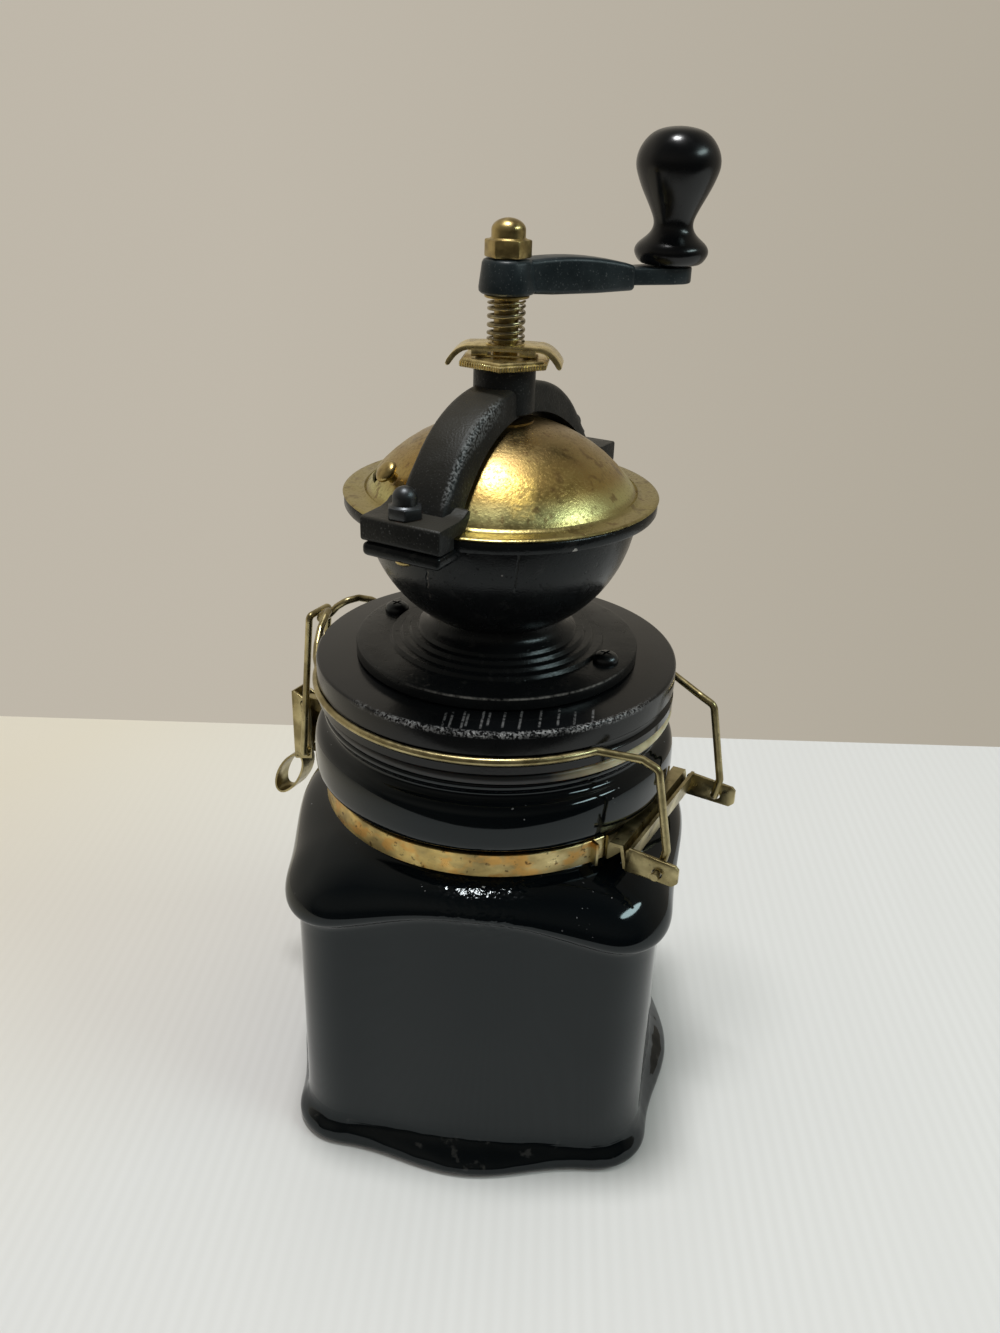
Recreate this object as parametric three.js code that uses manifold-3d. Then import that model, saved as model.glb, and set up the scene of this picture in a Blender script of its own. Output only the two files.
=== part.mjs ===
// A hand coffee mill: a glazed square canister with a clip-top lid, and on the lid a cast mill
// head with a brass dome, a crank and conical burrs that drop the ground coffee into the canister.
// Millimetres, +Z up, origin at the middle of the canister's foot, the canister's front face towards -Y.
import * as THREE from 'three';
import { mergeVertices } from 'three/addons/utils/BufferGeometryUtils.js';
import Module from 'manifold-3d';

const wasm = await Module();
wasm.setup();
const DEGREE = Math.PI / 180;

// Clearances
const SEAT = 0.3; // between pieces that rest on each other
const RUNNING = 0.4; // round a pin, shaft or wire that turns

// Canister
const BODY_HALF = 54; // half the width at the corner columns
const BODY_CROWN = 3.2; // how far each face swells past its columns
const BODY_CORNER = 17;
const BODY_HEIGHT = 97; // foot to the lip, in the middle of a face
const FOOT_FLARE = 2.8; // the foot past the body at a column
const FOOT_CROWN = 7.4;
const FOOT_HEIGHT = 8.5;
const LIP_OVERHANG = 3.8; // the shoulder's lip past the body
const LIP_DROOP = 10.5; // how much lower the lip hangs at the corners
const LIP_CORNER = 20;
const WALL = 5;
const FLOOR = 6;
const SHOULDER_RISE = 8;
const NECK_RADIUS = 51;
const NECK_HEIGHT = 9.6;
const BEAD_RADIUS = 55.5;
const BEAD_HEIGHT = 18.9;
const RIM_RADIUS = 52.6;
const RIM_HEIGHT = 2.4;
const MOUTH_RADIUS = 44.5;

// Neck band, hinge and latch
const BAND_WIDTH = 7.3;
const BAND_THICKNESS = 1;
const BAND_TAB_ANGLE = 28; // each turned-out tab of the band from the hinge
const SHEET = 1; // the hinge bracket's and the lever's sheet
const WIRE = 2.3; // diameter of the bail and of the link
const HINGE_AZIMUTH = -23;
const HINGE_REACH = 65.8; // the hinge axis from the canister's axis
const LUG_SPREAD = 24; // each lug from the middle of the bracket
const LUG_REACH = HINGE_REACH + 6.2; // the lug's metal goes on past the hinge axis
const FOLD_REACH = 56.2; // the middle of the bracket's stiffening fold
const HINGE_SEAT_DROP = 4.3; // the hinge axis below the band's upper edge
const LATCH_REACH = 72.6; // the lever's pivot from the canister's axis
const TONGUE_WIDTH = 3;
const TONGUE_HEIGHT = 4.6;
const LATCH_PIN = 2;
const LEVER_WIDTH = 6.6;
const LEVER_DEPTH = 4.2; // pivot to the inner face of the lever's plate
const LEVER_TOP = 4; // plate above the pivot
const LEVER_LENGTH = 22.5; // plate below the pivot
const LINK_PIVOT_DROP = 18.5; // the link's pivot below the lever's pivot
const LINK_SPREAD = 5.2; // each leg of the link from the middle
const NOSE_REACH = 64.4; // the bail's nose from the canister's axis
const NOSE_RISE = 3; // the nose above the groove in the lid
const NOSE_HALF_WIDTH = 4;

// Lid and gasket
const LID_RADIUS = 54;
const LID_THICKNESS = 12.9;
const LID_EDGE = 0.8; // rounding of the upper edge
const GROOVE_RISE = 4.6; // the groove's middle above the lid's underside
const GROOVE_DEPTH = 1.3;
const PLUG_DEPTH = 7; // below the underside
const GASKET_THICKNESS = 2.9;
const GASKET_RADIUS = 53.2;
const GASKET_SHIFT = 0.8; // the gasket sits a little towards the hinge

// Mill body
const COLLAR_RADIUS = 22;
const COLLAR_WALL = 4.7;
const COLLAR_LENGTH = 24; // below the base plate
const BASE_RADIUS = 42;
const BASE_THICKNESS = 3.9;
const STEP_RADII = [31.8, 28.8, 26.2, 23.6];
const STEP_RISE = 1.1;
const THROAT_RADIUS = 19.6;
const BOWL_RADIUS = 39;
const BOWL_WALL = 3.2;
const BOWL_CENTRE_RISE = 46.4; // above the base plate's underside
const RIM_FLANGE_RADIUS = 44.3;
const RIM_FLANGE_THICKNESS = 3.3;
const SPIDER_RISE = 2; // the spider above the base plate's underside
const SPIDER_HEIGHT = 6;
const BUSH_RADIUS = 5.4;
const SCREW_CIRCLE = 35.5;
const SCREW_AZIMUTH = -22;
const SCREW_SHANK = 3.4;
const SCREW_HEAD = 7.4;
const SCREW_LENGTH = 11;

// Dome, door and yoke
const DOME_BASE_RADIUS = 39;
const DOME_HEIGHT = 21.2; // flange underside to apex
const DOME_SHEET = 0.8;
const DOME_FLANGE_RADIUS = 44.6;
const DOME_HOLE = 4.8;
const WINDOW_START = -192;
const WINDOW_END = -137;
const WINDOW_INNER = 20;
const WINDOW_OUTER = 36.2;
const DOOR_SHEET = 0.5;
const DOOR_START = -200;
const DOOR_END = -130;
const DOOR_OUTER = 35;
const DOOR_COLLAR = 8.6;
const DOOR_KNOB_AZIMUTH = -142;
const DOOR_KNOB_REACH = 33.2;
const DOOR_KNOB_RADIUS = 3;
const DOOR_KNOB_HEIGHT = 4.4;
const YOKE_AZIMUTH = 67;
const YOKE_CLEARANCE = 0.6; // over the door
const YOKE_TOP = 55.8; // the arch's top above the dome's centre
const YOKE_REACH = 48.4; // the arch's half span at that centre
const YOKE_SHOULDER = 2.3; // 2 would be an ellipse, more is squarer
const YOKE_FLARE = 0.4; // how much wider the feet are beside the dome
const YOKE_WIDTH = 13.4;
const YOKE_HUB_RADIUS = 8.5;
const YOKE_HUB_RISE = 35.1; // hub's top above the dome's flange
const EAR_INNER = 37;
const EAR_OUTER = 52.4;
const EAR_WIDTH = 23.6;
const EAR_TOP = 5.2; // above the bowl's rim
const BOWL_EAR_THICKNESS = 3.7;
const EAR_BOLT_REACH = 47.2;
const EAR_BOLT_SHIFT = 1.5; // the bolts beside the arch's middle plane
const EAR_BOLT = 3.8;
const EAR_NUT = 9; // across corners
const EAR_NUT_HEX = 3.3;
const EAR_NUT_DOME = 4.5;

// Shaft, burrs and crank
const SHAFT = 6.7;
const SHAFT_TOP_THREAD = 5.6;
const BURR_HEIGHT = 18;
const BURR_TEETH = 20;
const OUTER_BURR_MOUTH = 14.2; // tooth tips at the lower end
const OUTER_BURR_THROAT = 12; // tooth tips at the upper end
const BURR_TOOTH = 1.3;
const GRIND_GAP = 0.4;
const INNER_BURR_TOP = 6.2;
const INNER_BURR_TEETH = 14;
const BURR_NUT = 11;
const BURR_NUT_HEIGHT = 3.6;
const ADJUSTER = 27.2; // across corners
const ADJUSTER_HEIGHT = 2.3;
const ADJUSTER_NOTCHES = 5; // on each side
const CLIP_HALF_LENGTH = 14.5;
const CLIP_WIDTH = 10.6;
const CLIP_SHEET = 0.9;
const CLIP_BOW = 2.1;
const CLIP_SLOT = 9; // the gap between the flanges under each long edge
const CLIP_FLANGE = 17; // ends of those flanges, from end to end
const SPRING_RADIUS = 4.75; // to the middle of the wire
const SPRING_WIRE = 0.9;
const SPRING_CURLS = 6;
const SPRING_HEIGHT = 11;
const WASHER_RADIUS = 6;
const WASHER_THICKNESS = 0.8;
const CRANK_AZIMUTH = 32.5;
const CRANK_LENGTH = 50.8;
const CRANK_HUB_RADIUS = 7.6;
const CRANK_HUB_HEIGHT = 8.6;
const CRANK_WIDTH = 8.6;
const CRANK_THICKNESS = 7;
const CRANK_STEP = 37.2; // where the thick arm ends
const CRANK_LUG_THICKNESS = 3.8;
const CRANK_LUG_RISE = 1.7;
const CRANK_LUG_RADIUS = 6.2;
const CROWN_NUT = 12.6; // across corners
const CROWN_NUT_HEX = 4.5;
const CROWN_NUT_DOME = 5.2;
const KNOB_PIN = 4;
const KNOB_PIN_HEAD = 7;
const KNOB_PIN_SINK = 1.8; // depth of the head's countersink in the crank's lug
const KNOB_HEIGHT = 35.2;
const KNOB_BASE = 10.4;
const KNOB_NECK = 5.4;
const KNOB_BULB = 11.5;

// Heights that follow from the sizes
const NECK_Z = BODY_HEIGHT + SHOULDER_RISE;
const BEAD_Z = NECK_Z + NECK_HEIGHT;
const CANISTER_TOP = BEAD_Z + BEAD_HEIGHT + RIM_HEIGHT;
const LID_BOTTOM = CANISTER_TOP + GASKET_THICKNESS + 2 * SEAT;
const LID_TOP = LID_BOTTOM + LID_THICKNESS;
const GROOVE_Z = LID_BOTTOM + GROOVE_RISE;
const BASE_Z = LID_TOP + SEAT;
const BASE_TOP = BASE_Z + BASE_THICKNESS;
const BOWL_Z = BASE_Z + BOWL_CENTRE_RISE;
const BOWL_RIM = BOWL_Z + 2;
const DOME_Z = BOWL_RIM + SEAT;
const DOME_RADIUS = (DOME_BASE_RADIUS ** 2 + DOME_HEIGHT ** 2) / (2 * DOME_HEIGHT);
const DOME_CENTRE = DOME_Z + DOME_HEIGHT - DOME_RADIUS;
const DOOR_RADIUS = DOME_RADIUS + SEAT + DOOR_SHEET;
const YOKE_UNDER = DOOR_RADIUS + YOKE_CLEARANCE;
const HUB_TOP = DOME_Z + YOKE_HUB_RISE;
const ADJUSTER_Z = HUB_TOP + SEAT;
const CLIP_Z = ADJUSTER_Z + ADJUSTER_HEIGHT + SEAT;
const CLIP_TOP = CLIP_Z + CLIP_SHEET + CLIP_BOW;
const SPRING_Z = CLIP_TOP + SEAT;
const WASHER_Z = SPRING_Z + SPRING_HEIGHT + SEAT;
const CRANK_Z = WASHER_Z + WASHER_THICKNESS + SEAT;
const CROWN_Z = CRANK_Z + CRANK_HUB_HEIGHT + SEAT;
const COLLAR_Z = BASE_Z - COLLAR_LENGTH;
const BURR_Z = COLLAR_Z + SEAT;
const BAND_Z = NECK_Z + 0.7;
const HINGE_Z = BAND_Z + BAND_WIDTH - HINGE_SEAT_DROP;
const LATCH_Z = BAND_Z + BAND_WIDTH + 0.9;

// Makes a geometry one closed body: shared vertices merged, slivers dropped, faces pointing out.
function closed(geometry) {
  const bare = geometry.clone();
  bare.deleteAttribute('normal');
  bare.deleteAttribute('uv');
  const merged = mergeVertices(bare, 1e-4);
  const position = merged.attributes.position;
  const index = [];
  let volume = 0;
  const [a, b, c] = [new THREE.Vector3(), new THREE.Vector3(), new THREE.Vector3()];
  for (let i = 0; i < merged.index.count; i += 3) {
    const corner = [merged.index.getX(i), merged.index.getX(i + 1), merged.index.getX(i + 2)];
    if (new Set(corner).size < 3) continue;
    index.push(...corner);
    a.fromBufferAttribute(position, corner[0]);
    b.fromBufferAttribute(position, corner[1]);
    c.fromBufferAttribute(position, corner[2]);
    volume += a.dot(b.cross(c));
  }
  if (volume < 0) index.reverse();
  merged.setIndex(index);
  return merged;
}

function toSolid(geometry) {
  const body = closed(geometry);
  return new wasm.Manifold(new wasm.Mesh({
    numProp: 3,
    vertProperties: new Float32Array(body.attributes.position.array),
    triVerts: new Uint32Array(body.index.array),
  }));
}

function toGeometry(solid) {
  const mesh = solid.getMesh();
  const geometry = new THREE.BufferGeometry();
  geometry.setAttribute('position', new THREE.BufferAttribute(new Float32Array(mesh.vertProperties), 3));
  geometry.setIndex([...mesh.triVerts]);
  return geometry;
}

function join(...geometries) {
  return toGeometry(geometries.map(toSolid).reduce((whole, piece) => whole.add(piece)));
}

function cut(geometry, ...tools) {
  return toGeometry(tools.map(toSolid).reduce((whole, tool) => whole.subtract(tool), toSolid(geometry)));
}

function common(geometry, tool) {
  return toGeometry(toSolid(geometry).intersect(toSolid(tool)));
}

// A turned solid about Z from [radius, height] points, closed on itself if it leaves the axis.
function turned(points, segments = 48) {
  const outline = points.map(([r, z]) => new THREE.Vector2(r, z));
  const onAxis = points[0][0] === 0 && points[points.length - 1][0] === 0;
  if (!onAxis) outline.push(outline[0].clone());
  return new THREE.LatheGeometry(outline, segments).rotateX(Math.PI / 2);
}

function tube(inner, outer, z0, z1, segments = 32) {
  return turned([[inner, z0], [outer, z0], [outer, z1], [inner, z1]], segments);
}

function rod(radius, z0, z1, segments = 24) {
  const height = z1 - z0;
  return new THREE.CylinderGeometry(radius, radius, height, segments)
    .rotateX(Math.PI / 2)
    .translate(0, 0, (z0 + z1) / 2);
}

// A rod across the radial direction X, along the tangential direction Y.
function crossRod(radius, x, z, y0, y1, segments = 16) {
  return new THREE.CylinderGeometry(radius, radius, y1 - y0, segments).translate(x, (y0 + y1) / 2, z);
}

function block(x0, x1, y0, y1, z0, z1) {
  return new THREE.BoxGeometry(x1 - x0, y1 - y0, z1 - z0)
    .translate((x0 + x1) / 2, (y0 + y1) / 2, (z0 + z1) / 2);
}

// An outline in the X-Z plane made thick along Y, from y0 to y1, with an optional chamfer.
function slab(shape, y0, y1, chamfer = 0, curveSegments = 12) {
  const options = {
    depth: y1 - y0 - 2 * chamfer,
    bevelEnabled: chamfer > 0,
    bevelThickness: chamfer,
    bevelSize: chamfer,
    bevelOffset: -chamfer,
    bevelSegments: 1,
    curveSegments,
  };
  return new THREE.ExtrudeGeometry(shape, options).rotateX(Math.PI / 2).translate(0, y1 - chamfer, 0);
}

// An outline in the X-Y plane raised from z0 to z1.
function plate(shape, z0, z1, curveSegments = 12) {
  return new THREE.ExtrudeGeometry(shape, { depth: z1 - z0, bevelEnabled: false, curveSegments })
    .translate(0, 0, z0);
}

function hexagon(acrossCorners, start = 0) {
  const shape = new THREE.Shape();
  for (let k = 0; k < 6; k++) {
    const angle = (start + 60 * k) * DEGREE;
    const x = acrossCorners / 2 * Math.cos(angle);
    const y = acrossCorners / 2 * Math.sin(angle);
    if (k === 0) shape.moveTo(x, y);
    else shape.lineTo(x, y);
  }
  shape.closePath();
  return shape;
}

// Rings of points joined into one skin. It is capped with fans at both ends, or closed on itself.
function loft(rings, closedOnItself = false) {
  const count = rings[0].length;
  const position = rings.flatMap((ring) => ring.flatMap((p) => [p.x, p.y, p.z]));
  const index = [];
  const last = closedOnItself ? rings.length : rings.length - 1;
  for (let i = 0; i < last; i++) {
    const here = i * count;
    const next = ((i + 1) % rings.length) * count;
    for (let k = 0; k < count; k++) {
      const k1 = (k + 1) % count;
      index.push(here + k, here + k1, next + k1);
      index.push(here + k, next + k1, next + k);
    }
  }
  if (!closedOnItself) {
    for (const [ring, first, turn] of [[rings[0], 0, 1], [rings.at(-1), (rings.length - 1) * count, 0]]) {
      const middle = new THREE.Vector3();
      for (const p of ring) middle.addScaledVector(p, 1 / count);
      const hub = position.length / 3;
      position.push(middle.x, middle.y, middle.z);
      for (let k = 0; k < count; k++) {
        const k1 = (k + 1) % count;
        index.push(hub, first + (turn ? k1 : k), first + (turn ? k : k1));
      }
    }
  }
  const geometry = new THREE.BufferGeometry();
  geometry.setAttribute('position', new THREE.Float32BufferAttribute(position, 3));
  geometry.setIndex(index);
  return geometry;
}

// A wire's path: the points themselves are the steps, so bends stay where they are put.
class WirePath extends THREE.Curve {
  constructor(points) {
    super();
    this.points = points;
  }

  getPoint(t, target = new THREE.Vector3()) {
    const place = Math.min(Math.max(t, 0), 1) * (this.points.length - 1);
    const i = Math.min(Math.floor(place), this.points.length - 2);
    return target.lerpVectors(this.points[i], this.points[i + 1], place - i);
  }

  getPointAt(u, target) {
    return this.getPoint(u, target);
  }

  getTangentAt(u, target = new THREE.Vector3()) {
    const i = Math.round(u * (this.points.length - 1));
    const before = this.points[Math.max(i - 1, 0)];
    const after = this.points[Math.min(i + 1, this.points.length - 1)];
    return target.subVectors(after, before).normalize();
  }
}

function wire(points, radius, sides = 8) {
  const section = new THREE.Shape();
  for (let k = 0; k < sides; k++) {
    const angle = 2 * Math.PI * k / sides;
    if (k === 0) section.moveTo(radius, 0);
    else section.lineTo(radius * Math.cos(angle), radius * Math.sin(angle));
  }
  section.closePath();
  const extrudePath = new WirePath(points);
  return new THREE.ExtrudeGeometry(section, { steps: points.length - 1, extrudePath });
}

// Rounds the inner corners of a line of points with bends of the given radius.
function bent(points, radius, steps = 3) {
  const path = [points[0]];
  for (let i = 1; i < points.length - 1; i++) {
    const back = new THREE.Vector3().subVectors(points[i - 1], points[i]);
    const ahead = new THREE.Vector3().subVectors(points[i + 1], points[i]);
    const half = back.angleTo(ahead) / 2;
    const reach = Math.min(radius / Math.tan(half), 0.45 * back.length(), 0.45 * ahead.length());
    const start = points[i].clone().addScaledVector(back.normalize(), reach);
    const end = points[i].clone().addScaledVector(ahead.normalize(), reach);
    const bend = new THREE.QuadraticBezierCurve3(start, points[i], end);
    path.push(...bend.getPoints(steps));
  }
  path.push(points.at(-1));
  return path;
}

function point(x, y, z) {
  return new THREE.Vector3(x, y, z);
}

function material(color, roughness, metalness) {
  return new THREE.MeshStandardMaterial({ color, roughness, metalness });
}

const glaze = material(0x0b0c0e, 0.12, 0);
const lacquer = material(0x101113, 0.35, 0);
const castIron = material(0x17191c, 0.55, 0.3);
const brass = material(0xa98a45, 0.35, 1);
const platedSteel = material(0x9a8a5c, 0.35, 1);
const darkSteel = material(0x35373a, 0.35, 1);
const springSteel = material(0x9b8f6d, 0.3, 1);
const rubber = material(0xb9ac84, 0.5, 0);
const burrSteel = material(0x6b6c6e, 0.45, 1);
const knobLacquer = material(0x0c0c0d, 0.2, 0);

function piece(name, geometry, finish) {
  const mesh = new THREE.Mesh(closed(geometry), finish);
  mesh.geometry.computeVertexNormals();
  mesh.name = name;
  return mesh;
}

// Canister: each ring has the same 48 points, 9 along every face and 3 round every corner.
const FACE_POINTS = 9;
const CORNER_POINTS = 3;

function squareSection(half, crown, corner) {
  const section = [];
  const flat = half - corner;
  for (let side = 0; side < 4; side++) {
    const turn = side * Math.PI / 2;
    const local = [];
    for (let k = 0; k < FACE_POINTS; k++) {
      const along = flat * (2 * k / (FACE_POINTS - 1) - 1);
      local.push([along, -half - crown * 0.5 * (1 + Math.cos(Math.PI * along / flat))]);
    }
    for (let k = 1; k <= CORNER_POINTS; k++) {
      const angle = -Math.PI / 2 + (Math.PI / 2) * k / (CORNER_POINTS + 1);
      local.push([flat + corner * Math.cos(angle), -flat + corner * Math.sin(angle)]);
    }
    for (const [x, y] of local) {
      section.push(new THREE.Vector2(x, y).rotateAround(new THREE.Vector2(), turn));
    }
  }
  return section;
}

const bodySection = squareSection(BODY_HALF, BODY_CROWN, BODY_CORNER);

function squareRing(half, crown, corner, z, droop = 0) {
  return squareSection(half, crown, corner).map((p) => {
    const towardsCorner = ((1 - Math.cos(4 * Math.atan2(p.y, p.x))) / 2) ** 1.3;
    return point(p.x, p.y, z - droop * towardsCorner);
  });
}

function roundRing(radius, z) {
  return bodySection.map((p) => {
    const direction = p.clone().normalize();
    return point(radius * direction.x, radius * direction.y, z);
  });
}

function between(ringA, ringB, outward, upward) {
  return ringA.map((a, k) => {
    const b = ringB[k];
    return point(a.x + (b.x - a.x) * outward, a.y + (b.y - a.y) * outward, a.z + (b.z - a.z) * upward);
  });
}

function canister() {
  const lipHalf = BODY_HALF + LIP_OVERHANG;
  const footHalf = BODY_HALF + FOOT_FLARE;
  const lipUnder = squareRing(BODY_HALF, BODY_CROWN, BODY_CORNER, BODY_HEIGHT - 2.4, LIP_DROOP);
  const lipEdge = squareRing(lipHalf - 1, BODY_CROWN, LIP_CORNER, BODY_HEIGHT - 1.6, LIP_DROOP);
  const lipSide = squareRing(lipHalf, BODY_CROWN, LIP_CORNER, BODY_HEIGHT + 0.2, LIP_DROOP - 0.5);
  const lipTop = squareRing(lipHalf - 0.3, BODY_CROWN, LIP_CORNER, BODY_HEIGHT + 2.4, LIP_DROOP * 0.6);
  const neckFoot = roundRing(NECK_RADIUS, NECK_Z);
  const beadTop = BEAD_Z + BEAD_HEIGHT;
  const inner = MOUTH_RADIUS;
  const cavityHalf = BODY_HALF - WALL;
  const cavityCorner = BODY_CORNER - WALL;
  return loft([
    squareRing(footHalf - 1.4, FOOT_CROWN, BODY_CORNER, 0),
    squareRing(footHalf, FOOT_CROWN, BODY_CORNER, FOOT_HEIGHT * 0.2),
    squareRing(footHalf - 0.4, FOOT_CROWN, BODY_CORNER, FOOT_HEIGHT * 0.5),
    squareRing(BODY_HALF + 0.7, BODY_CROWN + 1.2, BODY_CORNER, FOOT_HEIGHT * 0.86),
    squareRing(BODY_HALF, BODY_CROWN, BODY_CORNER, FOOT_HEIGHT * 1.15),
    lipUnder,
    lipEdge,
    lipSide,
    lipTop,
    between(lipTop, neckFoot, 0.22, 0.42),
    between(lipTop, neckFoot, 0.7, 0.82),
    neckFoot,
    roundRing(NECK_RADIUS, BEAD_Z),
    roundRing(BEAD_RADIUS - 1.6, BEAD_Z + BEAD_HEIGHT * 0.1),
    roundRing(BEAD_RADIUS, BEAD_Z + BEAD_HEIGHT * 0.52),
    roundRing(BEAD_RADIUS - 0.7, BEAD_Z + BEAD_HEIGHT * 0.78),
    roundRing(BEAD_RADIUS - 2.2, BEAD_Z + BEAD_HEIGHT * 0.95),
    roundRing(RIM_RADIUS - 0.5, beadTop),
    roundRing(RIM_RADIUS, beadTop + 0.5),
    roundRing(RIM_RADIUS, CANISTER_TOP - 0.6),
    roundRing(RIM_RADIUS - 0.6, CANISTER_TOP),
    roundRing(inner, CANISTER_TOP),
    roundRing(inner, NECK_Z),
    squareRing(cavityHalf, BODY_CROWN, cavityCorner, BODY_HEIGHT - WALL, LIP_DROOP),
    squareRing(cavityHalf, BODY_CROWN, cavityCorner, FLOOR + 1.4),
    squareRing(cavityHalf - 1.4, BODY_CROWN, cavityCorner - 1, FLOOR),
  ]);
}

// Neck band and the two brackets on it, in a frame whose X axis points to the bracket.
function band() {
  const inner = NECK_RADIUS + RUNNING;
  const top = BAND_Z + BAND_WIDTH;
  const tabs = [-1, 1].map((side) => block(inner + 0.3, inner + 3.4, -SHEET / 2, SHEET / 2, BAND_Z, top)
    .rotateZ((HINGE_AZIMUTH + side * BAND_TAB_ANGLE) * DEGREE));
  return join(tube(inner, inner + BAND_THICKNESS, BAND_Z, top, 48), ...tabs);
}

const BRACKET_INNER = NECK_RADIUS + RUNNING + BAND_THICKNESS + SEAT;

function bandSaddle(halfWidth) {
  const ring = tube(BRACKET_INNER, BRACKET_INNER + SHEET, BAND_Z, BAND_Z + BAND_WIDTH, 48);
  const room = block(0, BRACKET_INNER + 9, -halfWidth, halfWidth, BAND_Z - 1, BAND_Z + BAND_WIDTH + 1);
  return common(ring, room);
}

function lug(side) {
  const z0 = BAND_Z;
  const z1 = BAND_Z + BAND_WIDTH;
  const outline = new THREE.Shape();
  outline.moveTo(FOLD_REACH, z0 + 0.6);
  outline.lineTo(LUG_REACH - 1.5, z0 + 0.4);
  outline.lineTo(LUG_REACH, z0 + 1.9);
  outline.lineTo(LUG_REACH, z1 - 1);
  outline.lineTo(LUG_REACH - 1, z1);
  outline.lineTo(FOLD_REACH + 1.2, z1 + SEAT + SHEET - 0.2);
  outline.lineTo(FOLD_REACH, z1);
  outline.closePath();
  const hole = new THREE.Path();
  hole.absarc(HINGE_REACH, HINGE_Z, WIRE / 2 + RUNNING, 0, 2 * Math.PI, true);
  outline.holes.push(hole);
  const middle = side * LUG_SPREAD;
  return slab(outline, middle - SHEET / 2, middle + SHEET / 2, 0, 8);
}

// One bent sheet: a saddle on the band, a bridge over it, a stiffening fold and a lug at each end.
function hingeBracket() {
  const z0 = BAND_Z;
  const z1 = BAND_Z + BAND_WIDTH;
  const low = z1 + SEAT;
  const high = low + SHEET;
  const reach = LUG_SPREAD + SHEET / 2;
  const fold = FOLD_REACH;
  const profile = new THREE.Shape();
  const line = [
    [fold - 7.5, high], [fold - 0.9, high], [fold + 0.2, z0 + 3.4], [fold + 1.1, high], [fold + 2.1, high],
    [fold + 0.7, z0 + 1.2], [fold - 0.4, z0 + 1.2], [fold - 1.7, low], [fold - 7.5, low],
  ];
  profile.moveTo(...line[0]);
  for (const p of line.slice(1)) profile.lineTo(...p);
  profile.closePath();
  const bridge = cut(
    slab(profile, -reach, reach),
    rod(NECK_RADIUS + RUNNING, low - 1, high + 1, 48),
  );
  const saddleHalf = LUG_SPREAD - 3;
  const foldLine = common(
    tube(BRACKET_INNER, BRACKET_INNER + SHEET, z1 - 1, low + SHEET / 2, 48),
    block(0, BRACKET_INNER + 9, -saddleHalf, saddleHalf, z1 - 2, high + 1),
  );
  return join(bandSaddle(saddleHalf), foldLine, bridge, lug(-1), lug(1));
}

function latchBracket() {
  const half = TONGUE_WIDTH / 2;
  const outline = new THREE.Shape();
  const low = LATCH_Z - TONGUE_HEIGHT / 2;
  const high = LATCH_Z + TONGUE_HEIGHT / 2;
  outline.moveTo(BRACKET_INNER + SHEET / 2, BAND_Z + 1);
  outline.lineTo(LATCH_REACH - 6, low);
  outline.lineTo(LATCH_REACH, low);
  outline.absarc(LATCH_REACH, LATCH_Z, TONGUE_HEIGHT / 2, -Math.PI / 2, Math.PI / 2, false);
  outline.lineTo(BRACKET_INNER + 6, high);
  outline.lineTo(BRACKET_INNER + SHEET / 2, BAND_Z + BAND_WIDTH - 0.5);
  outline.closePath();
  const hole = new THREE.Path();
  hole.absarc(LATCH_REACH, LATCH_Z, LATCH_PIN / 2 + SEAT, 0, 2 * Math.PI, true);
  outline.holes.push(hole);
  return join(bandSaddle(9), slab(outline, -half, half, 0, 8));
}

// Latch, in a frame with its origin at the lever's pivot, X away from the canister.
const LEVER_CHEEK = LEVER_WIDTH / 2;
const LINK_PIVOT = point(-0.5, 0, -LINK_PIVOT_DROP);

function latchLever() {
  const sheet = 0.8;
  const plateOut = LEVER_DEPTH + sheet;
  const cheek = new THREE.Shape();
  cheek.moveTo(LEVER_DEPTH + 0.1, LEVER_TOP);
  cheek.lineTo(-2.2, 1.6);
  cheek.lineTo(-2.4, -1.6);
  cheek.lineTo(-2.6, -LINK_PIVOT_DROP - 2);
  cheek.lineTo(LEVER_DEPTH + 0.1, -LEVER_LENGTH);
  cheek.closePath();
  for (const [x, z, radius] of [[0, 0, LATCH_PIN / 2], [LINK_PIVOT.x, LINK_PIVOT.z, WIRE / 2]]) {
    const hole = new THREE.Path();
    hole.absarc(x, z, radius + RUNNING, 0, 2 * Math.PI, true);
    cheek.holes.push(hole);
  }
  const cheeks = [-1, 1].map((side) => {
    const outer = side * LEVER_CHEEK;
    const inner = outer - side * sheet;
    return slab(cheek, Math.min(outer, inner), Math.max(outer, inner), 0, 8);
  });
  const back = block(LEVER_DEPTH, plateOut, -LEVER_CHEEK, LEVER_CHEEK, -LEVER_LENGTH, LEVER_TOP);
  return join(back, ...cheeks, thumbLoop(sheet));
}

function thumbLoop(sheet) {
  const outer = new THREE.Shape();
  const reach = 10.5;
  const breadth = 4.4;
  outer.absellipse(0, 0, reach, breadth, 0, 2 * Math.PI, false, 0);
  const inner = new THREE.Path();
  inner.absellipse(0, 0, reach - sheet, breadth - sheet, 0, 2 * Math.PI, true, 0);
  outer.holes.push(inner);
  const tilt = 58 * DEGREE; // the loop's long axis leans out from the lever's foot
  return slab(outer, -LEVER_CHEEK, LEVER_CHEEK, 0, 10)
    .rotateY(tilt)
    .translate(LEVER_DEPTH + reach * Math.cos(tilt) - 1.6, 0, -LEVER_LENGTH - reach * Math.sin(tilt) + 1.4);
}

// The link's bar lies against the outside of the bail's nose, one running gap away from it.
const LATCH_PIVOT = point(LATCH_REACH, 0, LATCH_Z);
const NOSE = point(NOSE_REACH, 0, GROOVE_Z + NOSE_RISE);

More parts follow.
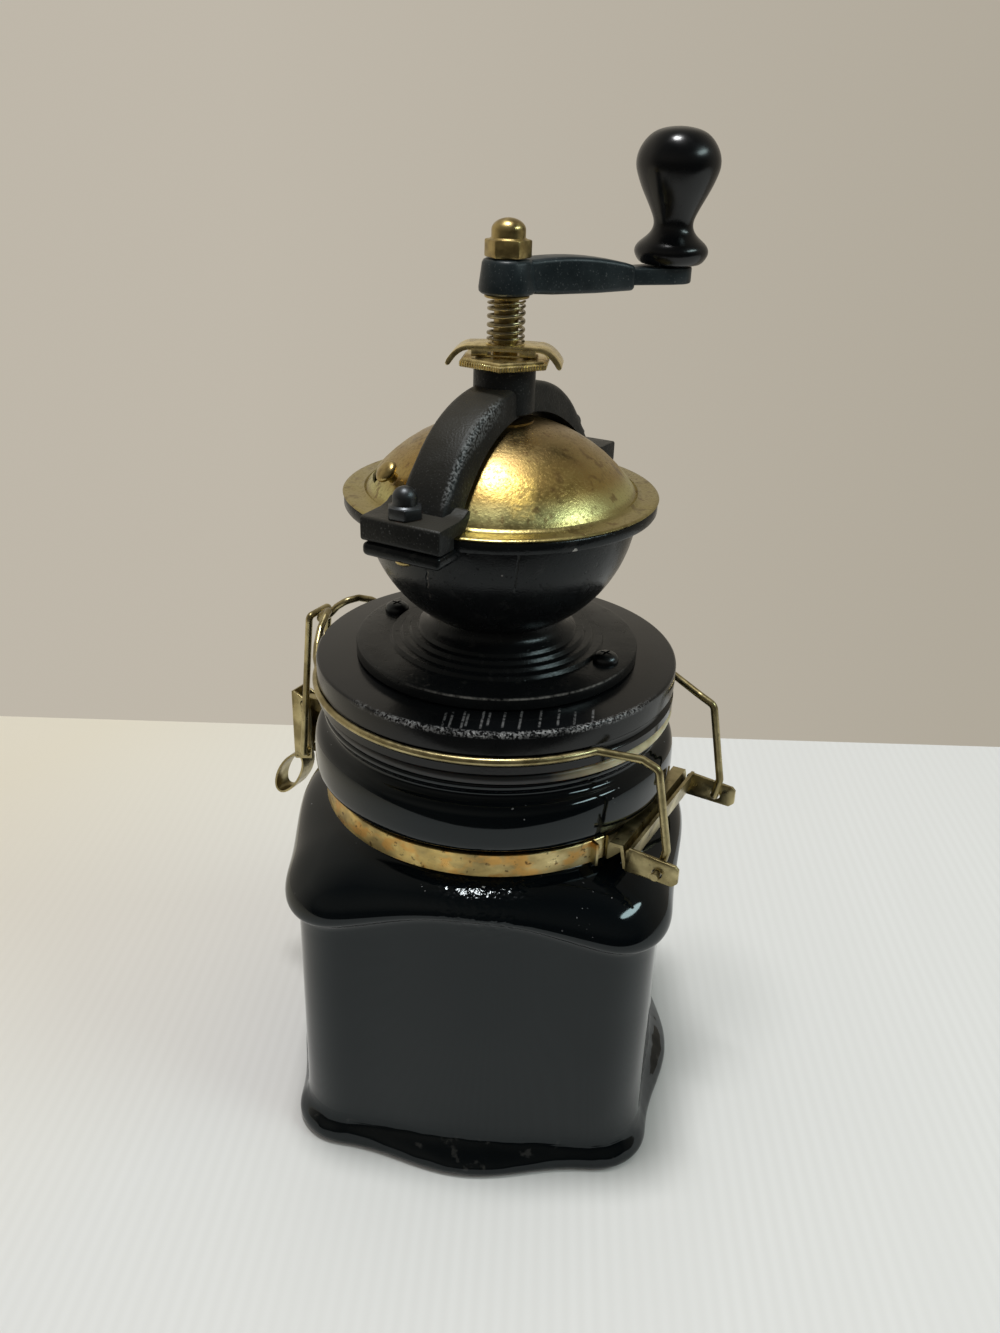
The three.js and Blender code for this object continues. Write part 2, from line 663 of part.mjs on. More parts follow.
function linkBar() {
  const hinge = point(-HINGE_REACH, 0, HINGE_Z);
  const outward = new THREE.Vector3().subVectors(NOSE, hinge).normalize();
  const upward = point(-outward.z, 0, outward.x);
  return NOSE.clone().addScaledVector(outward, WIRE + RUNNING).addScaledVector(upward, 1).sub(LATCH_PIVOT);
}

function latchLink() {
  const bar = linkBar();
  const inside = LEVER_CHEEK - 2.2;
  const path = [point(LINK_PIVOT.x, -inside, LINK_PIVOT.z), point(LINK_PIVOT.x, -LINK_SPREAD, LINK_PIVOT.z)];
  path.push(point(bar.x, -LINK_SPREAD, bar.z), point(bar.x, LINK_SPREAD, bar.z));
  path.push(point(LINK_PIVOT.x, LINK_SPREAD, LINK_PIVOT.z), point(LINK_PIVOT.x, inside, LINK_PIVOT.z));
  return wire(bent(path, 1.6), WIRE / 2);
}

// Bail wire, in a frame whose X axis points to the hinge.
function bail() {
  const ring = LID_RADIUS - GROOVE_DEPTH + WIRE / 2 + 0.1 + SEAT;
  const leave = 31;
  const legSide = LUG_SPREAD - SHEET / 2 - RUNNING - WIRE / 2;
  const side = (sign) => {
    const path = [
      point(HINGE_REACH, sign * (LUG_SPREAD + 2.4), HINGE_Z),
      point(HINGE_REACH, sign * legSide, HINGE_Z),
      point(HINGE_REACH + 1.4, sign * legSide, HINGE_Z + 7),
      point(HINGE_REACH - 3.2, sign * legSide, GROOVE_Z - 4),
      point(HINGE_REACH - 8, sign * (legSide + 0.4), GROOVE_Z - 2),
      point(ring * Math.cos(leave * DEGREE), sign * ring * Math.sin(leave * DEGREE), GROOVE_Z),
    ];
    return bent(path, 2.6).slice(0, -1);
  };
  const around = (reach, azimuth, sign, rise) => {
    const angle = azimuth * DEGREE;
    return point(reach * Math.cos(angle), sign * reach * Math.sin(angle), GROOVE_Z + rise);
  };
  const arc = (sign) => {
    const steps = 14;
    const to = 151;
    return Array.from({ length: steps + 1 }, (_, k) => {
      return around(ring, leave + (to - leave) * k / steps, sign, 0);
    });
  };
  const nose = (sign) => [
    around(ring + 1.4, 156, sign, 0.9),
    around(ring + 2.4, 161, sign, NOSE_RISE),
    around(ring + 3, 166, sign, NOSE_RISE + 3.4),
    around(ring + 3.6, 171, sign, NOSE_RISE + 5.4),
    point(-NOSE_REACH + 5.4, sign * (NOSE_HALF_WIDTH + 0.6), GROOVE_Z + NOSE_RISE + 5.4),
    point(-NOSE_REACH + 2, sign * NOSE_HALF_WIDTH, GROOVE_Z + NOSE_RISE + 2.8),
    point(-NOSE_REACH + 0.5, sign * (NOSE_HALF_WIDTH - 0.6), GROOVE_Z + NOSE_RISE + 0.9),
    point(-NOSE_REACH, sign * (NOSE_HALF_WIDTH - 2), GROOVE_Z + NOSE_RISE),
  ];
  const half = (sign) => [...side(sign), ...arc(sign), ...nose(sign)];
  return wire([...half(-1), ...half(1).reverse()], WIRE / 2);
}

// Lid: a thick lacquered disc with a conical plug, so that it swings clear of the mouth.
function lid() {
  const grooveHalf = WIRE / 2 + RUNNING;
  const collarHole = COLLAR_RADIUS + RUNNING;
  const body = turned([
    [collarHole, LID_BOTTOM - PLUG_DEPTH],
    [MOUTH_RADIUS - 5, LID_BOTTOM - PLUG_DEPTH],
    [MOUTH_RADIUS - 1.4, LID_BOTTOM - 3.5],
    [MOUTH_RADIUS - 0.6, LID_BOTTOM],
    [LID_RADIUS, LID_BOTTOM],
    [LID_RADIUS, GROOVE_Z - grooveHalf],
    [LID_RADIUS - GROOVE_DEPTH, GROOVE_Z - grooveHalf * 0.6],
    [LID_RADIUS - GROOVE_DEPTH, GROOVE_Z + grooveHalf * 0.6],
    [LID_RADIUS, GROOVE_Z + grooveHalf],
    [LID_RADIUS, LID_TOP - LID_EDGE],
    [LID_RADIUS - LID_EDGE, LID_TOP],
    [collarHole, LID_TOP],
  ], 48);
  const holes = [0, 180].map((turn) => rod(SCREW_SHANK / 2 + SEAT, LID_TOP - SCREW_LENGTH, LID_TOP + 1, 12)
    .translate(SCREW_CIRCLE, 0, 0)
    .rotateZ((SCREW_AZIMUTH + turn) * DEGREE));
  return cut(body, ...holes);
}

function gasket() {
  const z0 = CANISTER_TOP + SEAT;
  const z1 = z0 + GASKET_THICKNESS;
  const inner = MOUTH_RADIUS + 1.4;
  return turned([
    [inner, z0], [GASKET_RADIUS - 1, z0], [GASKET_RADIUS, z0 + 1], [GASKET_RADIUS, z1 - 0.8],
    [GASKET_RADIUS - 0.8, z1], [inner, z1],
  ], 48);
}

// Mill body: one casting with a burr collar, a stepped base plate, a throat and the hopper bowl.
function millBody() {
  const seatRadius = COLLAR_RADIUS - COLLAR_WALL;
  const burrTop = BURR_Z + BURR_HEIGHT + SEAT;
  const throatInner = THROAT_RADIUS - BOWL_WALL;
  const bowlInner = BOWL_RADIUS - BOWL_WALL;
  const outerStart = -Math.acos(THROAT_RADIUS / BOWL_RADIUS);
  const outerEnd = -Math.asin((BOWL_Z - (BOWL_RIM - RIM_FLANGE_THICKNESS)) / BOWL_RADIUS);
  const innerStart = Math.asin((BOWL_RIM - BOWL_Z) / bowlInner);
  const innerEnd = -Math.acos(throatInner / bowlInner);
  const arc = (radius, from, to, steps) => Array.from({ length: steps + 1 }, (_, k) => {
    const angle = from + (to - from) * k / steps;
    return [radius * Math.cos(angle), BOWL_Z + radius * Math.sin(angle)];
  });
  const steps = STEP_RADII.flatMap((radius, k) => [
    [radius, BASE_TOP + STEP_RISE * k], [radius - 0.3, BASE_TOP + STEP_RISE * (k + 1)],
  ]);
  const body = turned([
    [seatRadius, COLLAR_Z], [COLLAR_RADIUS, COLLAR_Z], [COLLAR_RADIUS, BASE_Z],
    [BASE_RADIUS, BASE_Z], [BASE_RADIUS, BASE_TOP - 0.8], [BASE_RADIUS - 0.8, BASE_TOP],
    ...steps,
    ...arc(BOWL_RADIUS, outerStart, outerEnd, 6),
    [RIM_FLANGE_RADIUS - 0.8, BOWL_RIM - RIM_FLANGE_THICKNESS],
    [RIM_FLANGE_RADIUS, BOWL_RIM - RIM_FLANGE_THICKNESS + 0.8],
    [RIM_FLANGE_RADIUS, BOWL_RIM],
    ...arc(bowlInner, innerStart, innerEnd, 4),
    [throatInner, burrTop],
    [seatRadius, burrTop],
  ], 48);
  const ears = [1, -1].map((side) => cut(
    bowlEar().rotateZ(side < 0 ? Math.PI : 0),
    rod(BOWL_RADIUS - 1, BOWL_RIM - 12, BOWL_RIM + 1, 48),
    rod(EAR_BOLT / 2 + SEAT, BOWL_RIM - 12, BOWL_RIM + 1, 12)
      .translate(side * EAR_BOLT_REACH, EAR_BOLT_SHIFT, 0),
  ).rotateZ(YOKE_AZIMUTH * DEGREE));
  const arms = [0, 120, 240].map((turn) => block(BUSH_RADIUS, throatInner + 1, -1.6, 1.6,
    BASE_Z + SPIDER_RISE, BASE_Z + SPIDER_RISE + SPIDER_HEIGHT).rotateZ(turn * DEGREE));
  const ring = tube(BUSH_RADIUS + SEAT, BUSH_RADIUS + SEAT + 2, BASE_Z + SPIDER_RISE,
    BASE_Z + SPIDER_RISE + SPIDER_HEIGHT, 24);
  const spider = cut(join(ring, ...arms), rod(BUSH_RADIUS + SEAT, BASE_Z, BASE_Z + 20, 24));
  const screwHoles = [0, 180].map((turn) => rod(SCREW_SHANK / 2 + SEAT, BASE_Z - 1, BASE_TOP + 1, 12)
    .translate(SCREW_CIRCLE, 0, 0)
    .rotateZ((SCREW_AZIMUTH + turn) * DEGREE));
  return cut(join(body, ...ears, spider), ...screwHoles);
}

const EAR_Z = BOWL_RIM - 1.8; // where the bowl's ear and the yoke's ear meet

function bowlEar() {
  const half = EAR_WIDTH / 2;
  const outline = new THREE.Shape();
  outline.moveTo(BOWL_RADIUS - 4, -half + 1);
  outline.lineTo(EAR_OUTER - 1.5, -half);
  outline.lineTo(EAR_OUTER, -half + 1.5);
  outline.lineTo(EAR_OUTER, half - 1.5);
  outline.lineTo(EAR_OUTER - 1.5, half);
  outline.lineTo(BOWL_RADIUS - 4, half - 1);
  outline.closePath();
  return plate(outline, EAR_Z - BOWL_EAR_THICKNESS, EAR_Z);
}

// Cross-head screw with a pan head, standing on z = 0.
function screw() {
  const head = turned([
    [0, -SCREW_LENGTH], [SCREW_SHANK / 2 - 0.8, -SCREW_LENGTH + 1.5], [SCREW_SHANK / 2, -SCREW_LENGTH + 3.5],
    [SCREW_SHANK / 2, 0], [SCREW_HEAD / 2, 0], [SCREW_HEAD / 2, 1], [SCREW_HEAD / 2 - 0.9, 2.2],
    [SCREW_HEAD / 2 - 2.2, 2.6], [0, 2.6],
  ], 16);
  const slots = [block(-1.9, 1.9, -0.45, 0.45, 1.3, 4), block(-0.45, 0.45, -1.9, 1.9, 1.3, 4)];
  return cut(head, ...slots);
}

// A shell of the dome's curve between two radii, as a turned profile of [radius, height] points.
function domeArc(radius, from, to, steps) {
  return Array.from({ length: steps + 1 }, (_, k) => {
    const reach = from + (to - from) * k / steps;
    return [reach, DOME_CENTRE + Math.sqrt(radius ** 2 - reach ** 2)];
  });
}

function sector(from, to, inner, outer, z0, z1) {
  const outline = new THREE.Shape();
  outline.absarc(0, 0, outer, from * DEGREE, to * DEGREE, false);
  outline.absarc(0, 0, inner, to * DEGREE, from * DEGREE, true);
  outline.closePath();
  return plate(outline, z0, z1, 20);
}

function dome() {
  const insideRadius = DOME_RADIUS - DOME_SHEET;
  const foot = DOME_BASE_RADIUS - 0.6;
  const shell = turned([
    ...domeArc(insideRadius, DOME_HOLE, foot - DOME_SHEET, 7),
    [foot - 0.2, DOME_Z],
    [DOME_FLANGE_RADIUS, DOME_Z],
    [DOME_FLANGE_RADIUS, DOME_Z + DOME_SHEET],
    [foot + 0.8, DOME_Z + DOME_SHEET],
    ...domeArc(DOME_RADIUS, foot, DOME_HOLE, 7),
  ], 48);
  const [low, high] = [DOME_Z + 2, DOME_Z + 2 * DOME_HEIGHT];
  return cut(shell, sector(WINDOW_START, WINDOW_END, WINDOW_INNER, WINDOW_OUTER, low, high));
}

function door() {
  const skin = turned([
    ...domeArc(DOME_RADIUS + SEAT, DOME_HOLE, DOOR_OUTER, 7),
    ...domeArc(DOOR_RADIUS, DOOR_OUTER, DOME_HOLE, 7),
  ], 48);
  const high = DOME_Z + 2 * DOME_HEIGHT;
  const collar = rod(DOOR_COLLAR, DOME_Z, high, 30);
  return common(skin, join(collar, sector(DOOR_START, DOOR_END, 2, DOOR_OUTER + 2, DOME_Z, high)));
}

function doorKnob() {
  return turned([
    [0, 0], [1.5, 0], [1.5, DOOR_KNOB_HEIGHT * 0.4], [DOOR_KNOB_RADIUS - 0.5, DOOR_KNOB_HEIGHT * 0.46],
    [DOOR_KNOB_RADIUS, DOOR_KNOB_HEIGHT * 0.62], [DOOR_KNOB_RADIUS - 0.5, DOOR_KNOB_HEIGHT * 0.82],
    [DOOR_KNOB_RADIUS - 1.8, DOOR_KNOB_HEIGHT * 0.97], [0, DOOR_KNOB_HEIGHT],
  ], 20);
}

// Yoke: an arch over the dome, its hub on the mill's axis and an ear at each foot.
function yoke() {
  const arch = new THREE.Shape();
  const feet = DOME_Z + DOME_SHEET + SEAT;
  const top = (x) => DOME_CENTRE
    + YOKE_TOP * (1 - (Math.abs(x) / YOKE_REACH) ** YOKE_SHOULDER) ** (1 / YOKE_SHOULDER);
  const under = (x) => DOME_CENTRE + Math.sqrt(YOKE_UNDER ** 2 - x ** 2);
  const span = 40.5;
  const foot = 45;
  const innerSpan = Math.sqrt(YOKE_UNDER ** 2 - (feet - DOME_CENTRE) ** 2);
  const steps = 14;
  arch.moveTo(-foot, feet);
  for (let k = 0; k <= steps; k++) {
    const x = span * (2 * k / steps - 1);
    arch.lineTo(x, top(x));
  }
  arch.lineTo(foot, feet);
  for (let k = 0; k <= steps; k++) {
    const x = innerSpan * (1 - 2 * k / steps);
    arch.lineTo(x, under(x));
  }
  arch.closePath();
  const half = YOKE_WIDTH / 2;
  const arms = flared(slab(arch, -half, half, 1.6));
  const hub = rod(YOKE_HUB_RADIUS, DOME_CENTRE + YOKE_UNDER + 0.5, HUB_TOP, 36);
  const ears = [-1, 1].map((side) => yokeEar(side, feet));
  const bolts = [-1, 1].map((side) => rod(EAR_BOLT / 2 + SEAT, EAR_Z - 1, HUB_TOP, 12)
    .translate(side * EAR_BOLT_REACH, EAR_BOLT_SHIFT, 0));
  const nutRoom = [-1, 1].map((side) => rod(EAR_NUT / 2 + RUNNING, BOWL_RIM + EAR_TOP, HUB_TOP, 24)
    .translate(side * EAR_BOLT_REACH, EAR_BOLT_SHIFT, 0));
  const bore = rod(SHAFT / 2 + RUNNING, DOME_Z, HUB_TOP + 1, 24);
  return cut(join(cut(join(arms, hub), ...nutRoom), ...ears), ...bolts, bore);
}

// Widens the arch towards its feet, on the side that faces the dome.
function flared(geometry) {
  const place = geometry.attributes.position;
  for (let i = 0; i < place.count; i++) {
    const x = place.getX(i);
    const off = Math.hypot(x, place.getZ(i) - DOME_CENTRE) - YOKE_UNDER;
    const near = 1 - Math.min(1, Math.max(0, off / 5.5));
    const low = Math.min(1, Math.abs(x) / EAR_INNER) ** 1.6;
    place.setY(i, place.getY(i) * (1 + YOKE_FLARE * near * low));
  }
  return geometry;
}

function yokeEar(side, feet) {
  const half = EAR_WIDTH / 2;
  const low = EAR_Z + SEAT;
  const high = BOWL_RIM + EAR_TOP;
  const step = DOME_FLANGE_RADIUS + SEAT;
  const ear = join(
    block(EAR_INNER + 0.5, EAR_OUTER, -half, half, feet, high),
    block(step - 1, EAR_OUTER, -half, half, low, feet + 0.5),
  );
  const flange = rod(step, DOME_Z - 5, feet, 48);
  const slope = domeArc(YOKE_UNDER, EAR_INNER + 3, EAR_INNER - 3, 2);
  const domeRoom = turned([[0, feet - 20], [EAR_INNER + 3, feet - 20], ...slope, [0, slope.at(-1)[1]]], 48);
  return cut(ear, flange, domeRoom).rotateZ(side < 0 ? Math.PI : 0);
}

// Bolt from below, its shank through both ears; origin where the ears meet.
function earBolt() {
  const shank = EAR_BOLT / 2;
  const under = -BOWL_EAR_THICKNESS - SEAT;
  const top = BOWL_RIM + EAR_TOP - EAR_Z + EAR_NUT_HEX + 2.1;
  return turned([
    [0, under - 2.4], [2.4, under - 2.4], [3.4, under - 1.2], [3.4, under],
    [shank, under], [shank, top], [0, top],
  ], 20);
}

function crownNut(acrossCorners, hexHeight, domeHeight, bore, boreDepth) {
  const domeRadius = acrossCorners * 0.38;
  const hex = common(
    plate(hexagon(acrossCorners, 30), 0, hexHeight),
    turned([
      [0, 0], [acrossCorners * 0.45, 0], [acrossCorners * 0.5, hexHeight * 0.14],
      [acrossCorners * 0.5, hexHeight * 0.86], [acrossCorners * 0.45, hexHeight], [0, hexHeight],
    ], 24),
  );
  const curve = Array.from({ length: 6 }, (_, k) => {
    const angle = Math.PI / 2 * k / 5;
    return [k === 5 ? 0 : domeRadius * Math.cos(angle), hexHeight + domeHeight * Math.sin(angle)];
  });
  const cap = turned([[0, hexHeight - 0.5], [domeRadius, hexHeight - 0.5], ...curve], 20);
  return cut(join(hex, cap), rod(bore / 2 + SEAT, -1, boreDepth, 16));
}

// Shaft and burrs
function shaft() {
  const bottom = BURR_Z - BURR_NUT_HEIGHT - 4;
  const shoulder = CROWN_Z - SEAT - 1;
  return turned([
    [0, bottom], [SHAFT / 2 - 0.5, bottom], [SHAFT / 2, bottom + 0.5], [SHAFT / 2, shoulder],
    [SHAFT_TOP_THREAD / 2, shoulder], [SHAFT_TOP_THREAD / 2, CROWN_Z + 5], [0, CROWN_Z + 5],
  ], 24);
}

// A ring whose inner or outer side carries teeth: radius(k) gives the radius at step k of the count.
function toothRing(count, z, twist, radius) {
  return Array.from({ length: count }, (_, k) => {
    const angle = 2 * Math.PI * k / count + twist;
    return point(radius(k) * Math.cos(angle), radius(k) * Math.sin(angle), z);
  });
}

function outerBurr() {
  const count = BURR_TEETH * 2;
  const z0 = BURR_Z;
  const z1 = BURR_Z + BURR_HEIGHT;
  const outer = COLLAR_RADIUS - COLLAR_WALL - SEAT;
  const teeth = (tip, depth) => (k) => tip + (k % 2 ? depth : 0);
  const slant = 12 * DEGREE;
  const middle = (OUTER_BURR_MOUTH + OUTER_BURR_THROAT) / 2;
  return loft([
    toothRing(count, z0, 0, () => outer),
    toothRing(count, z1, 0, () => outer),
    toothRing(count, z1, slant, teeth(OUTER_BURR_THROAT, BURR_TOOTH * 1.6)),
    toothRing(count, (z0 + z1) / 2, slant / 2, teeth(middle, BURR_TOOTH)),
    toothRing(count, z0, 0, teeth(OUTER_BURR_MOUTH, BURR_TOOTH * 0.5)),
  ], true);
}

function innerBurr() {
  const count = INNER_BURR_TEETH * 2;
  const z0 = BURR_Z;
  const bore = SHAFT / 2 + SEAT;
  const foot = OUTER_BURR_MOUTH - GRIND_GAP;
  const teeth = (tip, depth) => (k) => tip - (k % 2 ? depth : 0);
  const slant = 38 * DEGREE;
  return loft([
    toothRing(count, z0 - 0.6, 0, () => bore),
    toothRing(count, z0 - 0.6, 0, teeth(foot - 0.4, 0)),
    toothRing(count, z0, 0, teeth(foot, BURR_TOOTH * 0.4)),
    toothRing(count, z0 + BURR_HEIGHT * 0.25, slant * 0.25, teeth(foot - 1.6, BURR_TOOTH * 0.8)),
    toothRing(count, z0 + BURR_HEIGHT * 0.6, slant * 0.6, teeth(foot - 4.4, BURR_TOOTH)),
    toothRing(count, z0 + BURR_HEIGHT, slant, teeth(INNER_BURR_TOP, BURR_TOOTH)),
    toothRing(count, z0 + BURR_HEIGHT, slant, () => bore),
  ], true);
}

function burrNut() {
  const z1 = BURR_Z - 0.6 - SEAT;
  return cut(plate(hexagon(BURR_NUT), z1 - BURR_NUT_HEIGHT, z1), rod(SHAFT / 2 + SEAT, z1 - 9, z1 + 1, 20));
}

function bush() {
  const z0 = BASE_Z + SPIDER_RISE;
  return tube(SHAFT / 2 + RUNNING, BUSH_RADIUS, z0 - 0.4, z0 + SPIDER_HEIGHT + 0.4, 24);
}

// Adjusting nut: a six-sided plate, its lower edge notched like a coin.
function adjuster() {
  const outer = ADJUSTER / 2;
  const outline = new THREE.Shape();
  const corner = (k) => new THREE.Vector2(outer, 0).rotateAround(new THREE.Vector2(), (60 * k + 30) * DEGREE);
  outline.moveTo(corner(0).x, corner(0).y);
  for (let k = 0; k < 6; k++) {
    const [a, b] = [corner(k), corner(k + 1)];
    for (let n = 0; n < ADJUSTER_NOTCHES; n++) {
      for (const [part, depth] of [[0.3, 0], [0.65, 0.6]]) {
        const p = a.clone().lerp(b, (n + part) / ADJUSTER_NOTCHES);
        const inward = a.clone().add(b).normalize().multiplyScalar(-depth);
        outline.lineTo(p.x + inward.x, p.y + inward.y);
      }
    }
    outline.lineTo(b.x, b.y);
  }
  const low = ADJUSTER_Z;
  const high = ADJUSTER_Z + ADJUSTER_HEIGHT;
  return cut(
    join(plate(outline, low, low + ADJUSTER_HEIGHT * 0.6), plate(hexagon(ADJUSTER - 1.2, 30), low + 1, high)),
    rod(SHAFT / 2 + RUNNING, low - 1, high + 1, 24),
  );
}

// Clip: a bowed strip whose tips drop over two flats of the adjusting nut. Each long edge is turned down
// into two flanges with a slot between them.
function clip() {
  const half = CLIP_HALF_LENGTH;
  const flat = ADJUSTER / 2 * Math.cos(30 * DEGREE);
  const line = [
    [-half - 0.2, ADJUSTER_Z - 0.6], [-half + 0.1, ADJUSTER_Z + 1.2],
    [-flat - 0.2, CLIP_Z + 1.3], [-flat * 0.66, CLIP_Z + CLIP_BOW * 0.72],
    [-flat * 0.3, CLIP_Z + CLIP_BOW * 0.96], [0, CLIP_Z + CLIP_BOW],
  ];
  const whole = [...line, ...line.slice(0, -1).reverse().map(([x, z]) => [-x, z])];
  const outline = new THREE.Shape();
  const upper = whole.map(([x, z], k) => {
    const before = whole[Math.max(k - 1, 0)];
    const after = whole[Math.min(k + 1, whole.length - 1)];
    const slope = new THREE.Vector2(after[0] - before[0], after[1] - before[1]).normalize();
    return [x - slope.y * CLIP_SHEET, z + slope.x * CLIP_SHEET];
  });
  outline.moveTo(...whole[0]);
  for (const p of whole.slice(1)) outline.lineTo(...p);
  for (const p of upper.reverse()) outline.lineTo(...p);
  outline.closePath();
  const edge = CLIP_WIDTH / 2;
  const strip = slab(outline, -edge, edge);
  const flanges = [-1, 1].flatMap((end) => [-edge, edge - CLIP_SHEET].map((y) => block(
    end > 0 ? CLIP_SLOT / 2 : -CLIP_FLANGE / 2, end > 0 ? CLIP_FLANGE / 2 : -CLIP_SLOT / 2,
    y, y + CLIP_SHEET, CLIP_Z + 0.3, CLIP_Z + CLIP_BOW,
  )));
  return cut(join(strip, ...flanges), rod(SHAFT / 2 + SEAT, CLIP_Z - 5, CLIP_TOP + 5, 20));
}

// Spring: one wire, wound in curls of 8 steps, with a straight end one wire thick at both ends.
function springPoints() {
  const stepsPerCurl = 8;
  const steps = SPRING_CURLS * stepsPerCurl;
  const rise = SPRING_HEIGHT - SPRING_WIRE;
  const points = Array.from({ length: steps + 1 }, (_, k) => {
    const angle = 2 * Math.PI * k / stepsPerCurl;
    const z = SPRING_Z + SPRING_WIRE / 2 + rise * k / steps;
    return point(SPRING_RADIUS * Math.cos(angle), SPRING_RADIUS * Math.sin(angle), z);
  });
  points.unshift(points[0].clone().add(point(0, -SPRING_WIRE, 0)));
  points.push(points.at(-1).clone().add(point(0, SPRING_WIRE, 0)));
  return points;
}

function spring() {
  const sides = 5;
  const radius = SPRING_WIRE / 2;
  const points = springPoints();
  const path = new WirePath(points);
  const rings = points.map((p, i) => {
    const along = path.getTangentAt(i / (points.length - 1));
    const out = point(p.x, p.y, 0).normalize();
    const across = new THREE.Vector3().crossVectors(along, out).normalize();
    const outward = new THREE.Vector3().crossVectors(across, along);
    return Array.from({ length: sides }, (_, k) => {
      const angle = 2 * Math.PI * k / sides;
      return p.clone()
        .addScaledVector(outward, radius * Math.cos(angle))
        .addScaledVector(across, radius * Math.sin(angle));
    });
  });
  return loft(rings);
}

// Least gap between two stretches of the spring's wire that are at least half a curl apart.
function springGap() {
  const points = springPoints();
  let least = Infinity;
  points.forEach((p, i) => {
    for (let j = i + 5; j < points.length; j++) least = Math.min(least, p.distanceTo(points[j]));
  });
  return least - SPRING_WIRE;
}
console.log(`crank spring: least gap to itself ${springGap().toFixed(2)} mm`);

// Crank, in a frame whose X axis runs along the arm.
function crank() {
  const z0 = CRANK_Z;
  const hub = turned([
    [0, z0], [CRANK_HUB_RADIUS - 0.6, z0], [CRANK_HUB_RADIUS, z0 + 0.8],
    [CRANK_HUB_RADIUS - 0.8, z0 + CRANK_HUB_HEIGHT - 0.8], [CRANK_HUB_RADIUS - 1.6, z0 + CRANK_HUB_HEIGHT],
    [0, z0 + CRANK_HUB_HEIGHT],
  ], 32);
  const side = new THREE.Shape();
  side.moveTo(0, z0 + 0.2);
  side.lineTo(CRANK_STEP, z0 + 0.2);
  side.lineTo(CRANK_STEP, z0 + CRANK_THICKNESS - 0.6);
  side.quadraticCurveTo(CRANK_STEP * 0.5, z0 + CRANK_THICKNESS + 3.8, 0, z0 + CRANK_THICKNESS + 0.8);
  side.closePath();
  const half = CRANK_WIDTH / 2;
  const arm = slab(side, -half, half, 1.2, 8);
  const lugTop = z0 + CRANK_LUG_RISE + CRANK_LUG_THICKNESS;
  const lugShape = new THREE.Shape();
  lugShape.moveTo(CRANK_STEP - 3, -half + 0.8);
  lugShape.lineTo(CRANK_LENGTH - 3, -CRANK_LUG_RADIUS);
  lugShape.absarc(CRANK_LENGTH, 0, CRANK_LUG_RADIUS, -Math.PI / 2, Math.PI / 2, false);
  lugShape.lineTo(CRANK_STEP - 3, half - 0.8);
  lugShape.closePath();
  const lugLow = z0 + CRANK_LUG_RISE;
  const end = plate(lugShape, lugLow, lugTop);
  const pinSeat = turned([
    [0, lugLow - 2], [KNOB_PIN_HEAD / 2 + SEAT, lugLow - 2], [KNOB_PIN_HEAD / 2 + SEAT, lugLow],
    [KNOB_PIN / 2 + SEAT, lugLow + KNOB_PIN_SINK + SEAT], [KNOB_PIN / 2 + SEAT, lugTop + 1], [0, lugTop + 1],
  ], 20);
  return cut(
    join(hub, arm, end),
    rod(SHAFT / 2 + SEAT, z0 - 1, z0 + CRANK_HUB_HEIGHT + 1, 24),
    pinSeat.translate(CRANK_LENGTH, 0, 0),
  );
}

const KNOB_Z = CRANK_Z + CRANK_LUG_RISE + CRANK_LUG_THICKNESS + SEAT;

function knob() {
  const h = KNOB_HEIGHT;
  const curve = new THREE.SplineCurve([
    [KNOB_BASE - 1.6, 0.02], [KNOB_BASE, 0.09], [KNOB_BASE - 1.4, 0.17], [KNOB_NECK + 1.4, 0.215],
    [KNOB_NECK, 0.29], [KNOB_NECK + 1.3, 0.39], [KNOB_BULB - 2, 0.54], [KNOB_BULB, 0.7],
    [KNOB_BULB - 1, 0.85], [KNOB_BULB - 4, 0.955], [KNOB_BULB - 7.5, 0.99],
  ].map(([r, part]) => new THREE.Vector2(r, part * h)));
  const side = curve.getPoints(16).map((p) => [p.x, p.y]);
  const body = turned([[0, 0], [KNOB_BASE - 2.6, 0], ...side, [0, h]], 24);
  return cut(body, rod(KNOB_PIN / 2 + RUNNING, -1, h * 0.7, 16));
}

// Knob pin: a rivet, its head sunk in the lug's underside; origin at the knob's underside.
function knobPin() {
  const low = -CRANK_LUG_THICKNESS - SEAT;
  return turned([
    [0, low], [KNOB_PIN_HEAD / 2, low], [KNOB_PIN / 2, low + KNOB_PIN_SINK],
    [KNOB_PIN / 2, KNOB_HEIGHT * 0.66], [0, KNOB_HEIGHT * 0.66],
  ], 20);
}

// Assembly
const mill = new THREE.Group();
mill.add(piece('jar', canister(), glaze), piece('neck_band', band(), platedSteel));

const hingeSide = new THREE.Group();
hingeSide.rotation.z = HINGE_AZIMUTH * DEGREE;
const gasketRing = piece('lid_gasket', gasket(), rubber);
gasketRing.position.x = GASKET_SHIFT;
hingeSide.add(piece('hinge_bracket', hingeBracket(), platedSteel), piece('lid_bail', bail(), platedSteel));
hingeSide.add(gasketRing);

const latchSide = new THREE.Group();
latchSide.rotation.z = (HINGE_AZIMUTH + 180) * DEGREE;
const latch = new THREE.Group();
latch.position.copy(LATCH_PIVOT);
const pinHalf = LEVER_WIDTH / 2 + 0.3;
latch.add(
  piece('latch_lever', latchLever(), platedSteel),
  piece('latch_link', latchLink(), platedSteel),
  piece('latch_pin', crossRod(LATCH_PIN / 2, 0, 0, -pinHalf, pinHalf, 12), platedSteel),
);
latchSide.add(piece('latch_bracket', latchBracket(), platedSteel), latch);

